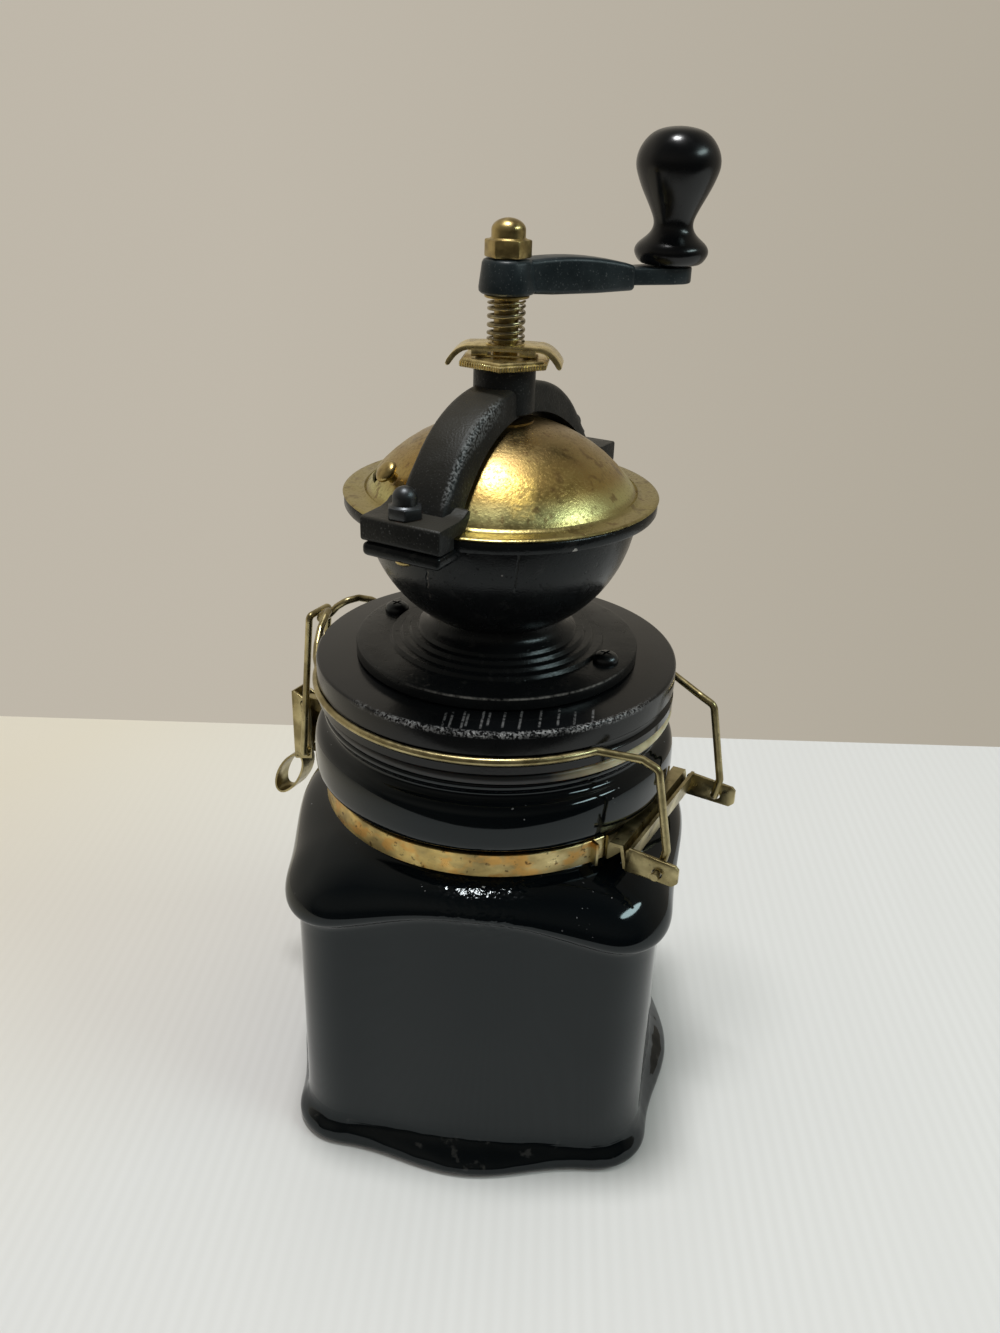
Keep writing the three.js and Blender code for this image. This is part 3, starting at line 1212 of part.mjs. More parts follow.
const head = new THREE.Group();
head.add(
  piece('lid', lid(), lacquer),
  piece('mill_body', millBody(), castIron),
  piece('outer_burr', outerBurr(), burrSteel),
  piece('shaft_bush', bush(), brass),
  piece('dome_cover', dome(), brass),
  piece('hopper_door', door(), brass),
);
for (const [name, turn] of [['base_screw_right', 0], ['base_screw_left', 180]]) {
  const azimuth = (SCREW_AZIMUTH + turn) * DEGREE;
  const screwPiece = piece(name, screw(), darkSteel);
  screwPiece.position.set(SCREW_CIRCLE * Math.cos(azimuth), SCREW_CIRCLE * Math.sin(azimuth), BASE_TOP);
  head.add(screwPiece);
}
const doorKnobPiece = piece('door_knob', doorKnob(), brass);
const knobLean = Math.asin(DOOR_KNOB_REACH / DOOR_RADIUS);
doorKnobPiece.rotation.set(0, knobLean, DOOR_KNOB_AZIMUTH * DEGREE, 'ZYX');
doorKnobPiece.position.set(0, 0, DOME_CENTRE);
doorKnobPiece.translateZ(DOOR_RADIUS + SEAT);
head.add(doorKnobPiece);

const yokeSide = new THREE.Group();
yokeSide.rotation.z = YOKE_AZIMUTH * DEGREE;
yokeSide.add(piece('yoke', yoke(), castIron));
for (const [place, side] of [['back', 1], ['front', -1]]) {
  const bolt = piece(`yoke_bolt_${place}`, earBolt(), brass);
  bolt.position.set(side * EAR_BOLT_REACH, EAR_BOLT_SHIFT, EAR_Z);
  const nut = piece(`yoke_nut_${place}`,
    crownNut(EAR_NUT, EAR_NUT_HEX, EAR_NUT_DOME, EAR_BOLT, EAR_NUT_HEX + 2.9), darkSteel);
  nut.position.set(side * EAR_BOLT_REACH, EAR_BOLT_SHIFT, BOWL_RIM + EAR_TOP);
  yokeSide.add(bolt, nut);
}

const rotor = new THREE.Group();
rotor.rotation.z = CRANK_AZIMUTH * DEGREE;
const crownNutPiece = piece('crank_nut',
  crownNut(CROWN_NUT, CROWN_NUT_HEX, CROWN_NUT_DOME, SHAFT_TOP_THREAD, 6), brass);
crownNutPiece.position.z = CROWN_Z;
const knobPiece = piece('knob', knob(), knobLacquer);
knobPiece.position.set(CRANK_LENGTH, 0, KNOB_Z);
const knobPinPiece = piece('knob_pin', knobPin(), darkSteel);
knobPinPiece.position.copy(knobPiece.position);
const washer = tube(SHAFT / 2 + SEAT, WASHER_RADIUS, WASHER_Z, WASHER_Z + WASHER_THICKNESS, 28);
rotor.add(
  piece('crank_arm', crank(), castIron),
  piece('crank_washer', washer, brass),
  crownNutPiece,
  knobPiece,
  knobPinPiece,
);

const onAxis = new THREE.Group();
onAxis.add(
  piece('drive_shaft', shaft(), brass),
  piece('inner_burr', innerBurr(), burrSteel),
  piece('burr_nut', burrNut(), darkSteel),
  piece('crank_spring', spring(), springSteel),
  piece('adjusting_nut', adjuster(), brass),
  piece('nut_clip', clip(), brass),
);
mill.add(hingeSide, latchSide, head, yokeSide, rotor, onAxis);

export default mill;
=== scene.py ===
# A hand coffee mill on the clip-top lid of a glazed canister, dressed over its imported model.
# Pieces are drawn in millimetres and degrees. Nodes, table, lamps and camera are in metres.
import math

import bmesh
import bpy
from mathutils import Matrix, Vector


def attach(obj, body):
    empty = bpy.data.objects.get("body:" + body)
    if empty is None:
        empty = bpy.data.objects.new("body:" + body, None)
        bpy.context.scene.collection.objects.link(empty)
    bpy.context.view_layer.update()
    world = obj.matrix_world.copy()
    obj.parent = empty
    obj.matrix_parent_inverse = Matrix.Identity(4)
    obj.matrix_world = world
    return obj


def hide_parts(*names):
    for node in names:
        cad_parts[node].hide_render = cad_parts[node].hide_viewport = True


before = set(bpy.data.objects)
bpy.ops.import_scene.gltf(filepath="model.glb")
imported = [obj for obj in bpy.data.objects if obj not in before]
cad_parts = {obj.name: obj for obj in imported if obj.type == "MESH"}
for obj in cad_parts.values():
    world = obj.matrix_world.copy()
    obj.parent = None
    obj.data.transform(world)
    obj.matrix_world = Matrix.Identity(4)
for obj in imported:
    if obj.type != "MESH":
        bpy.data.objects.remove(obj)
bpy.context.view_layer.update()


# Canister: slip-cast stoneware under a thick black glaze. The lip of its shoulder sags over the body
# towards each corner, the foot swells the same way, and the round neck carries a fat bead.
def finish(name, colour, roughness, metallic=0.0, **sockets):
    material = bpy.data.materials.new(name)
    material.use_nodes = True
    shader = material.node_tree.nodes["Principled BSDF"]
    sockets.update(Base_Color=(*colour, 1.0), Roughness=roughness, Metallic=metallic)
    for socket, value in sockets.items():
        shader.inputs[socket.replace("_", " ")].default_value = value
    return material


def put(material, kind, sockets=None, **settings):
    """Adds a node to a material or to the world, and fills or links its sockets."""
    node = material.node_tree.nodes.new("ShaderNode" + kind)
    for setting, value in settings.items():
        setattr(node, setting, value)
    for socket, value in (sockets or {}).items():
        if isinstance(value, bpy.types.NodeSocket):
            material.node_tree.links.new(value, node.inputs[socket])
        else:
            node.inputs[socket].default_value = value
    return node


def drive(material, socket, value):
    shader = material.node_tree.nodes["Principled BSDF"]
    material.node_tree.links.new(value, shader.inputs[socket])


def place_of(material, coordinates="Object"):
    place = put(material, "TexCoord").outputs[coordinates]
    return list(put(material, "SeparateXYZ", {0: place}).outputs)


def away_from(material, where):
    """Distance from a place given in millimetres."""
    place = put(material, "TexCoord").outputs["Object"]
    there = tuple(v / 1000 for v in where)
    return put(material, "VectorMath", {0: place, 1: there}, operation="DISTANCE").outputs["Value"]


def calculate(material, operation, first, *others):
    """Works an operation through a row of values, or on one value alone."""
    for other in others or (0.0,):
        first = put(material, "Math", {0: first, 1: other}, operation=operation).outputs[0]
    return first


def times(material, *values):
    return calculate(material, "MULTIPLY", *values)


def plus(material, *values):
    return calculate(material, "ADD", *values)


def between(material, value, low, high, to_low=0.0, to_high=1.0):
    """Maps low to high onto a new range, and holds its ends outside it."""
    sockets = {"Value": value, "From Min": low, "From Max": high, "To Min": to_low, "To Max": to_high}
    return put(material, "MapRange", sockets).outputs[0]


def clouds(material, size, detail=3.0, shift=0.0, stretch=(1, 1, 1), coarse=0.5):
    """Noise with blotches about size millimetres across."""
    place = put(material, "TexCoord").outputs["Object"]
    scale = tuple(1000 / (size * s) for s in stretch)
    placed = put(material, "Mapping", {"Vector": place, "Scale": scale, "Location": (shift, shift, shift)})
    noise = {"Vector": placed.outputs[0], "Scale": 1.0, "Detail": detail, "Roughness": coarse}
    return put(material, "TexNoise", noise).outputs[0]


def patches(material, size, detail, low, high, to_low=0.0, to_high=1.0, **more):
    """Clouds whose middle tones, from low to high, are spread over the new range."""
    return between(material, clouds(material, size, detail, **more), low, high, to_low, to_high)


def mixed(material, share, colour_a, colour_b):
    a, b = (c if isinstance(c, bpy.types.NodeSocket) else (*c, 1.0) for c in (colour_a, colour_b))
    return put(material, "Mix", {0: share, 6: a, 7: b}, data_type="RGBA").outputs[2]


def painted(material, tone, *layers):
    """Colours the surface. Each layer is a mask, how strongly it shows, and its colour."""
    for mask, strength, colour in layers:
        shown = mask if strength == 1.0 else times(material, mask, strength)
        tone = mixed(material, shown, tone, colour)
    drive(material, "Base Color", tone)


def bumpy(material, height, depth):
    """Raises the surface by a height times a depth in millimetres."""
    bump = put(material, "Bump", {"Height": height, "Distance": depth / 1000, "Strength": 1.0})
    drive(material, "Normal", bump.outputs[0])


def made(name, bm, body, material, stands_for, crease=32):
    """Turns a bmesh in millimetres into a piece in metres that rides on a body."""
    bmesh.ops.remove_doubles(bm, verts=bm.verts, dist=0.001)
    bmesh.ops.recalc_face_normals(bm, faces=bm.faces)
    bmesh.ops.scale(bm, vec=(0.001, 0.001, 0.001), verts=bm.verts)
    mesh = bpy.data.meshes.new(name)
    bm.to_mesh(mesh)
    bm.free()
    mesh.materials.append(material)
    mesh.shade_smooth()
    mesh.set_sharp_from_angle(angle=math.radians(crease))
    piece = bpy.data.objects.new(name, mesh)
    bpy.context.scene.collection.objects.link(piece)
    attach(piece, body)
    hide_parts(stands_for)
    return piece


def flowed(piece):
    """Rounds a piece with one level of subdivision."""
    smoother = piece.modifiers.new("flow", "SUBSURF")
    smoother.levels = 1
    smoother.render_levels = 1


def square_section(half, crown, corner):
    """Ninety-six points round the canister, each face swelling by its crown."""
    flat = half - corner
    points = []
    for side in range(4):
        turn = Matrix.Rotation(side * math.pi / 2, 2)
        for k in range(17):
            along = flat * (k / 8 - 1)
            swell = crown * 0.5 * (1 + math.cos(math.pi * along / flat))
            points.append(turn @ Vector((along, -half - swell)))
        for k in range(1, 8):
            angle = math.pi / 2 * (k / 8 - 1)
            points.append(turn @ Vector((flat + corner * math.cos(angle), corner * math.sin(angle) - flat)))
    return points


def canister_ring(bm, points, height, droop):
    """A loop of vertices that hangs lower by the droop at the four corners."""
    loop = bmesh.ops.create_circle(bm, segments=96, radius=1.0)["verts"]
    for vert, point in zip(loop, points):
        corner = ((1 - math.cos(4 * math.atan2(point.y, point.x))) / 2) ** 1.3
        vert.co = (point.x, point.y, height - droop * corner)
    return loop


def loft(bm, loops):
    for lower, upper in zip(loops, loops[1:]):
        count = len(lower)
        for k in range(count):
            bm.faces.new((lower[k], lower[(k + 1) % count], upper[(k + 1) % count], upper[k]))


BODY, CROWN, CORNER = 54.0, 3.2, 17.0
LIP_CORNER = 20.0
INSIDE_CORNER = 12.0
DROOP = 10.5
NECK = 51.0
SHOULDER_LOW, SHOULDER_TOP = 99.6, 105.0
foot = [(square_section(half, crown, corner), height, 0.0) for half, crown, corner, height in (
    (48.0, 4.0, 14.0, 0.0), (54.8, 7.2, 16.5, 0.0), (56.3, 7.4, CORNER, 0.7), (56.8, 7.4, CORNER, 2.1),
    (56.6, 7.2, CORNER, 3.9), (55.9, 6.3, CORNER, 5.6), (55.0, 4.9, CORNER, 7.2), (54.3, 3.8, CORNER, 8.9),
)]
body = [(square_section(BODY, CROWN, CORNER), height, droop) for height, droop in (
    (11.2, 0.0), (40.0, 3.2), (70.0, 7.2), (91.0, DROOP),
)]
lip = [(square_section(BODY + out, CROWN, corner), height, DROOP - less) for out, corner, height, less in (
    (0.1, CORNER, 93.6, 0.0), (1.0, CORNER + 0.5, 94.7, 0.0), (2.6, 19.0, 95.2, 0.0),
    (3.6, LIP_CORNER, 96.0, 0.1), (3.8, LIP_CORNER, 97.0, 0.6), (3.5, LIP_CORNER, 98.2, 1.6),
)]
bearing = [point.normalized() for point in square_section(BODY, CROWN, CORNER)]
low_edge = square_section(BODY + 2.9, CROWN, LIP_CORNER)
shoulder = []
for outward, upward in ((0.0, 0.0), (0.1, 0.24), (0.24, 0.46), (0.42, 0.64), (0.62, 0.79), (0.82, 0.9)):
    rise = SHOULDER_LOW + (SHOULDER_TOP - SHOULDER_LOW) * upward
    blend = [low.lerp(direction * NECK, outward) for low, direction in zip(low_edge, bearing)]
    shoulder.append((blend, rise, DROOP * 0.78 * (1 - upward)))
neck = [([direction * radius for direction in bearing], height, 0.0) for radius, height in (
    (51.4, SHOULDER_TOP), (NECK, 105.8), (NECK, 113.6), (51.4, 114.6), (53.6, 115.0), (54.9, 116.0),
    (55.4, 117.5), (55.5, 119.5), (55.5, 122.3), (55.4, 124.5), (55.2, 126.0), (54.9, 127.2), (54.5, 128.1),
    (54.0, 128.75), (53.4, 129.25), (52.6, 129.65), (51.8, 130.1), (51.1, 130.9), (50.9, 132.1),
    (51.3, 132.8), (52.1, 133.4), (52.5, 134.3), (52.6, 135.2), (52.2, 135.8), (51.4, 135.9),
    (45.2, 135.9), (44.5, 135.3), (44.5, 106.0), (45.0, 103.5),
)]
inside = [(square_section(half, CROWN, corner), height, droop) for half, corner, height, droop in (
    (48.8, INSIDE_CORNER, 90.0, DROOP), (49.0, INSIDE_CORNER, 84.0, DROOP * 0.5),
    (49.0, INSIDE_CORNER, 9.5, 0.0), (48.5, INSIDE_CORNER, 7.0, 0.0), (46.5, 11.0, 6.0, 0.0),
)]
bm = bmesh.new()
loops = [canister_ring(bm, *ring) for ring in foot + body + lip + shoulder + neck + inside]
loft(bm, loops)
bm.faces.new(loops[0])
bm.faces.new(loops[-1])
GLAZE_BLACK = (0.0012, 0.0022, 0.003)
glaze = finish("black glaze", GLAZE_BLACK, 0.05, Specular_IOR_Level=0.385,
               Specular_Tint=(0.89, 0.97, 1.0, 1.0))
_, _, z = place_of(glaze)
foot_band = times(glaze, between(glaze, z, 0.0, 0.0015), between(glaze, z, 0.0115, 0.0085))
# Pale blotches on the foot band: a painted reflection.
foot_reflection_blotches = times(glaze, foot_band, patches(glaze, 6.0, 4.0, 0.6, 0.66))
pinholes = times(
    glaze, patches(glaze, 1.1, 1.0, 0.745, 0.775, shift=3.0),
    patches(glaze, 16.0, 2.0, 0.56, 0.66, shift=7.0), between(glaze, z, 0.088, 0.1))
# The foot band gets pale blotches of painted reflection; the pinholes are pale.
painted(glaze, GLAZE_BLACK, (foot_reflection_blotches, 1.0, (0.022, 0.022, 0.021)), (pinholes, 1.0, (0.33, 0.33, 0.33)))
peel = between(glaze, away_from(glaze, (4.0, -55.6, 103.0)), 0.017, 0.009)
gloss = patches(glaze, 9.0, 3.0, 0.35, 0.7, 0.04, 0.09)
drive(glaze, "Roughness", plus(glaze, gloss, times(glaze, peel, 0.04)))
ripple = clouds(glaze, 34.0, 1.0)
curdle = times(glaze, clouds(glaze, 8.0, 1.0, shift=4.0), foot_band, 0.9)
grains = times(glaze, clouds(glaze, 1.7, 1.0), peel, 0.6)
bumpy(glaze, plus(glaze, ripple, curdle, times(glaze, pinholes, 0.08), grains), 0.55)
flowed(made("canister", bm, "canister", glaze, "jar", 60))

# Neck band: a plated steel strap drawn round the neck, its plating stained orange and grey by the
# kitchen. Its two ends turn out beside the hinge bracket.
HINGE = -23.0
BAND_LOW, BAND_TOP = 105.7, 113.0
BAND_END = 28.0


def spun(bm, verts, degrees, axis="Z"):
    """Turns vertices about an axis through the origin."""
    matrix = Matrix.Rotation(math.radians(degrees), 3, axis)
    bmesh.ops.rotate(bm, cent=(0, 0, 0), matrix=matrix, verts=verts)


def turned(bm, profile, steps=96, start=0.0, turn=360.0, closed=False):
    """Spins a line of (radius, height) points about the mill's axis."""
    begin = Matrix.Rotation(math.radians(start), 3, "Z")
    verts = [bm.verts.new(begin @ Vector((r, 0, h))) for r, h in profile]
    edges = [bm.edges.new(pair) for pair in zip(verts, verts[1:])]
    if closed:
        edges.append(bm.edges.new((verts[-1], verts[0])))
    bmesh.ops.spin(
        bm, geom=verts + edges, cent=(0, 0, 0), axis=(0, 0, 1), dvec=(0, 0, 0),
        angle=math.radians(turn), steps=steps, use_merge=turn == 360.0, use_duplicate=False)


def softened(bm, edges, width, segments=2, **settings):
    """Rounds edges off, and gives the vertices of the new faces."""
    result = bmesh.ops.bevel(
        bm, geom=list(edges), offset=width, segments=segments, profile=0.5, affect="EDGES", material=-1,
        **settings)
    return {vert for face in result["faces"] for vert in face.verts}


def brick(bm, x0, x1, y0, y1, z0, z1, turn, soft, segments=2):
    """A block with softened edges, turned about the mill's axis."""
    verts = bmesh.ops.create_cube(bm, size=1.0)["verts"]
    bmesh.ops.scale(bm, vec=(x1 - x0, y1 - y0, z1 - z0), verts=verts)
    bmesh.ops.translate(bm, vec=((x0 + x1) / 2, (y0 + y1) / 2, (z0 + z1) / 2), verts=verts)
    rounded = softened(bm, {edge for vert in verts for edge in vert.link_edges}, soft, segments)
    spun(bm, list(rounded), turn)


def azimuth_of(material):
    x, y, _ = place_of(material)
    return calculate(material, "ARCTAN2", y, x)


def roughened(material, low, high, size, detail=4.0, shift=0.0):
    drive(material, "Roughness", patches(material, size, detail, 0.3, 0.7, low, high, shift=shift))


bm = bmesh.new()
turned(bm, [
    (51.4, BAND_LOW), (52.2, BAND_LOW), (52.4, 105.9), (52.4, 112.8), (52.2, BAND_TOP), (51.4, BAND_TOP),
], 128, closed=True)
for side in (-1, 1):
    brick(bm, 51.8, 54.8, -0.5, 0.5, BAND_LOW, BAND_TOP, HINGE + side * BAND_END, 0.2)
band_plate = finish("stained band", (0.50, 0.42, 0.24), 0.36, 1.0)
stain = patches(band_plate, 12.0, 5.0, 0.38, 0.58, stretch=(1, 1, 0.6))
orange = patches(band_plate, 6.0, 5.0, 0.5, 0.62, stretch=(1, 1, 0.7), shift=4.0)
spots = patches(band_plate, 1.6, 3.0, 0.62, 0.7, shift=9.0)
facing = between(band_plate, azimuth_of(band_plate), math.radians(-95), math.radians(-55))
pale = mixed(band_plate, facing, (0.80, 0.60, 0.23), (0.74, 0.63, 0.34))
painted(
    band_plate, mixed(band_plate, stain, (0.42, 0.32, 0.14), pale), (orange, 0.8, (0.72, 0.40, 0.11)),
    (spots, 0.8, (0.12, 0.075, 0.035)))
roughened(band_plate, 0.26, 0.52, 5.0, shift=2.0)
bumpy(band_plate, clouds(band_plate, 2.2, 4.0, stretch=(1, 1, 0.4)), 0.06)
made("neck_strap", bm, "canister", band_plate, "neck_band")

# Hinge bracket: one strip of plated sheet, bent to a saddle on the band, a flat bridge, a stiffening
# fold and two lugs whose holes take the ends of the bail wire.
HINGE_REACH, HINGE_HEIGHT = 65.8, 108.7
LUG_SPREAD = 24.0
LUG_REACH = 72.0
FOLD = 56.2
plated = finish("yellow plated steel", (0.33, 0.27, 0.13), 0.28, 1.0)
wash = patches(plated, 8.0, 4.0, 0.38, 0.66)
dark_spots = patches(plated, 1.3, 3.0, 0.64, 0.72, shift=5.0)
tone = mixed(plated, wash, (0.27, 0.22, 0.105), (0.54, 0.46, 0.245))
painted(plated, tone, (dark_spots, 0.6, (0.10, 0.08, 0.05)))
roughened(plated, 0.24, 0.46, 3.0, shift=2.0)
bumpy(plated, clouds(plated, 1.4, 4.0), 0.03)


def arc(centre, radius, start, end, steps):
    """Points along a round stretch, from start to end in degrees."""
    angles = [math.radians(start + (end - start) * k / steps) for k in range(steps + 1)]
    return [(centre[0] + radius * math.cos(a), centre[1] + radius * math.sin(a)) for a in angles]


def pushed(bm, faces, offset):
    """Extrudes faces by an offset, and gives the new vertices."""
    grown = bmesh.ops.extrude_face_region(bm, geom=faces)["geom"]
    far = [item for item in grown if isinstance(item, bmesh.types.BMVert)]
    bmesh.ops.translate(bm, vec=offset, verts=far)
    return far


def flat_sheet(bm, outline, low, high, turn=0.0, holes=(), soft=0.0):
    """A plate standing in the radial plane: outline of (reach, height), made thick from low to high."""
    edges = []
    hole_rings = [arc((reach, height), radius, 0, 360, 16)[:-1] for reach, height, radius in holes]
    for ring in [outline, *hole_rings]:
        verts = [bm.verts.new((r, low, h)) for r, h in ring]
        edges += [bm.edges.new((verts[k - 1], verts[k])) for k in range(len(verts))]
    filled = bmesh.ops.triangle_fill(bm, edges=edges, use_beauty=True, use_dissolve=False)
    faces = [item for item in filled["geom"] if isinstance(item, bmesh.types.BMFace)]
    far = pushed(bm, faces, (0, high - low, 0))
    verts = {vert for face in faces for vert in face.verts} | set(far)
    if soft:
        rims = {edge for vert in verts for edge in vert.link_edges
                if len(edge.link_faces) == 2 and edge.calc_face_angle(0.0) > 0.6}
        rounded = softened(bm, rims, soft, clamp_overlap=True)
        verts = {vert for vert in verts if vert.is_valid} | rounded
    spun(bm, list(verts), turn)


def saddle(bm, top, middle, half_span, steps):
    """A curved pad that lies on the band."""
    turned(bm, [(52.7, BAND_LOW), (53.7, BAND_LOW), (53.7, top), (52.7, top)], steps, middle - half_span,
           2 * half_span, closed=True)
    bmesh.ops.holes_fill(bm, edges=bm.edges, sides=6)


bm = bmesh.new()
saddle(bm, 113.6, HINGE, 23.1, 16)
flat_sheet(bm, [
    (FOLD - 5.0, 114.2), (FOLD - 0.9, 114.3), (FOLD + 0.2, 109.1), (FOLD + 1.1, 114.3), (FOLD + 2.1, 114.3),
    (FOLD + 0.7, 106.9), (FOLD - 0.4, 106.9), (FOLD - 1.7, 113.3), (FOLD - 5.0, 113.3),
], -LUG_SPREAD - 0.5, LUG_SPREAD + 0.5, HINGE)
for side in (-1, 1):
    flat_sheet(bm, [
        (FOLD, 106.3), (LUG_REACH - 1.5, 106.1), (LUG_REACH, 107.6), (LUG_REACH, 112.0),
        (LUG_REACH - 1.0, 113.0), (FOLD + 1.2, 114.1), (FOLD, 113.0),
    ], side * LUG_SPREAD - 0.5, side * LUG_SPREAD + 0.5, HINGE, [(HINGE_REACH, HINGE_HEIGHT, 1.55)], 0.18)
made("hinge_plate", bm, "canister", plated, "hinge_bracket")

# Latch bracket and its pin: a plated steel tongue that stands on the band behind the jar, and the
# steel rivet through its end that the lever turns on.
LATCH = HINGE + 180.0
PIVOT_REACH, PIVOT_HEIGHT = 72.6, 113.9
PIN_HALF = 3.6
bm = bmesh.new()
saddle(bm, BAND_TOP, LATCH, 9.9, 8)
flat_sheet(bm, [
    (53.2, 106.7), (66.6, 111.6), *arc((PIVOT_REACH, PIVOT_HEIGHT), 2.3, -90, 90, 8), (58.7, 116.2),
    (53.2, 112.5),
], -1.5, 1.5, LATCH, [(PIVOT_REACH, PIVOT_HEIGHT, 1.3)], 0.2)
made("latch_tongue", bm, "canister", plated, "latch_bracket")
bm = bmesh.new()
bmesh.ops.create_cone(bm, cap_ends=True, segments=20, radius1=1.0, radius2=1.0, depth=2 * PIN_HALF)
softened(bm, [edge for edge in bm.edges if abs(edge.verts[0].co.z - edge.verts[1].co.z) < 0.01], 0.25)
spun(bm, bm.verts, 90, "X")
bmesh.ops.translate(bm, vec=(PIVOT_REACH, 0, PIVOT_HEIGHT), verts=bm.verts)
spun(bm, bm.verts, LATCH)
made("latch_rivet", bm, "canister", plated, "latch_pin")

# Latch lever: folded sheet, two cheeks on the rivet, a long outer plate and a rolled loop for the
# thumb. Swung outwards it lets the link go slack.
LEVER_HALF, LEVER_TOP, LEVER_LOW = 3.3, 4.0, -22.5
LINK_OUT, LINK_DOWN = -0.5, -18.5
LOOP_LONG = 10.5
LOOP_TILT = math.radians(58)


def from_pivot(*offsets):
    return [(PIVOT_REACH + out, PIVOT_HEIGHT + up) for out, up in offsets]


bm = bmesh.new()
holes = [(*from_pivot((0, 0))[0], 1.4), (*from_pivot((LINK_OUT, LINK_DOWN))[0], 1.55)]
for side in (-1, 1):
    near, far = sorted((side * LEVER_HALF, side * 2.5))
    flat_sheet(bm, from_pivot((4.3, LEVER_TOP), (-2.2, 1.6), (-2.4, -1.6), (-2.6, -20.5), (4.3, LEVER_LOW)),
               near, far, LATCH, holes, 0.15)
flat_sheet(bm, from_pivot((4.2, LEVER_TOP), (5.0, 3.8), (5.0, LEVER_LOW), (4.2, LEVER_LOW)),
           -LEVER_HALF, LEVER_HALF, LATCH, soft=0.2)
loop_middle = from_pivot((4.2 + LOOP_LONG * math.cos(LOOP_TILT) - 1.6,
                          LEVER_LOW - LOOP_LONG * math.sin(LOOP_TILT) + 1.4))[0]


def loop_edge(bm, long, short, across):
    """One edge of the thumb loop, an ellipse that leans outwards."""
    edge = []
    for turn in (2 * math.pi * k / 40 for k in range(40)):
        down, out = long * math.cos(turn), short * math.sin(turn)
        edge.append(bm.verts.new((
            loop_middle[0] + down * math.cos(LOOP_TILT) + out * math.sin(LOOP_TILT), across,
            loop_middle[1] - down * math.sin(LOOP_TILT) + out * math.cos(LOOP_TILT))))
    return edge


outer_low, outer_high = [loop_edge(bm, LOOP_LONG, 4.4, side * LEVER_HALF) for side in (-1, 1)]
inner_low, inner_high = [loop_edge(bm, LOOP_LONG - 0.8, 3.6, side * LEVER_HALF) for side in (-1, 1)]
loft(bm, [outer_low, outer_high, inner_high, inner_low, outer_low])
spun(bm, outer_low + outer_high + inner_low + inner_high, LATCH)
made("latch_handle", bm, "lever", plated, "latch_lever")

# Latch link: a loop of plated wire from the lever up to the nose of the bail. Its two ends turn inwards
# through the lever's cheeks, and its bar hooks over the nose.
WIRE = 2.3
LINK_HALF = 5.2
GROOVE = 144.0
NOSE_REACH, NOSE_RISE = 64.4, 3.0


def bent(points, radius, steps=6):
    """Rounds the corners of a wire's route."""
    route = [points[0]]
    for before, here, after in zip(points, points[1:], points[2:]):
        back, ahead = before - here, after - here
        reach = min(radius / math.tan(back.angle(ahead) / 2), back.length * 0.45, ahead.length * 0.45)
        a, b = here + back.normalized() * reach, here + ahead.normalized() * reach
        for k in range(steps + 1):
            t = k / steps
            route.append(a * (1 - t) ** 2 + here * (2 * t * (1 - t)) + b * t ** 2)
    return route + [points[-1]]


def wire(name, route, body, stands_for, turn):
    """A drawn wire along a route in millimetres."""
    curve = bpy.data.curves.new(name, "CURVE")
    curve.dimensions = "3D"
    curve.bevel_depth = WIRE / 2000
    curve.bevel_resolution = 4
    curve.use_fill_caps = True
    spline = curve.splines.new("POLY")
    spline.points.add(len(route) - 1)
    spin = Matrix.Rotation(math.radians(turn), 3, "Z")
    for knot, point in zip(spline.points, route):
        knot.co = (*(spin @ point / 1000), 1.0)
    drawn = bpy.data.objects.new(name, curve)
    bm = bmesh.new()
    bm.from_mesh(drawn.to_mesh())
    drawn.to_mesh_clear()
    bpy.data.objects.remove(drawn)
    bmesh.ops.scale(bm, vec=(1000, 1000, 1000), verts=bm.verts)
    made(name, bm, body, plated, stands_for, 50)


nose_tip = Vector((NOSE_REACH, 0, GROOVE + NOSE_RISE))
pull = (nose_tip - Vector((-HINGE_REACH, 0, HINGE_HEIGHT))).normalized()
bar = nose_tip + pull * 2.7 + Vector((-pull.z, 0, pull.x))
foot_reach, foot_height = from_pivot((LINK_OUT, LINK_DOWN))[0]
wire("latch_loop", bent([Vector(point) for point in (
    (foot_reach, -1.1, foot_height), (foot_reach, -LINK_HALF, foot_height), (bar.x, -LINK_HALF, bar.z),
    (bar.x, LINK_HALF, bar.z), (foot_reach, LINK_HALF, foot_height), (foot_reach, 1.1, foot_height),
)], 1.6), "link", "latch_link", LATCH)

# Bail: one length of plated wire from lug to lug. It lies in the lid's groove and rises over the lid's
# edge into a nose for the link.
RING = 54.25
LEG_SPREAD = 21.95


def half_bail(sign):
    def around(out, degrees, rise):
        reach, angle = RING + out, math.radians(degrees)
        return Vector((reach * math.cos(angle), sign * reach * math.sin(angle), GROOVE + rise))
    leg = [
        Vector((HINGE_REACH, sign * 26.4, HINGE_HEIGHT)),
        Vector((HINGE_REACH, sign * LEG_SPREAD, HINGE_HEIGHT)),
        Vector((67.2, sign * LEG_SPREAD, HINGE_HEIGHT + 7)), Vector((62.6, sign * LEG_SPREAD, GROOVE - 4)),
        Vector((57.8, sign * (LEG_SPREAD + 0.4), GROOVE - 2)), around(0, 31, 0), around(0, 33, 0),
    ]
    groove = [around(0, 31 + 3 * k, 0) for k in range(1, 41)]
    nose = [
        around(0, 151, 0), around(1.4, 156, 0.9), around(2.4, 161, 3), around(3, 166, 6.4),
        around(3.6, 171, 8.4),
        Vector((-59, sign * 4.6, GROOVE + 8.4)), Vector((-62.4, sign * 4, GROOVE + 5.8)),
        Vector((-63.9, sign * 3.4, GROOVE + 3.9)), Vector((-NOSE_REACH, sign * 2, GROOVE + NOSE_RISE)),
    ]
    return bent(leg, 2.6)[:-1] + groove[:-1] + bent(nose, 2.4, 4)


wire("bail_wire", half_bail(-1) + half_bail(1)[::-1], "lid_and_mill", "lid_bail", HINGE)
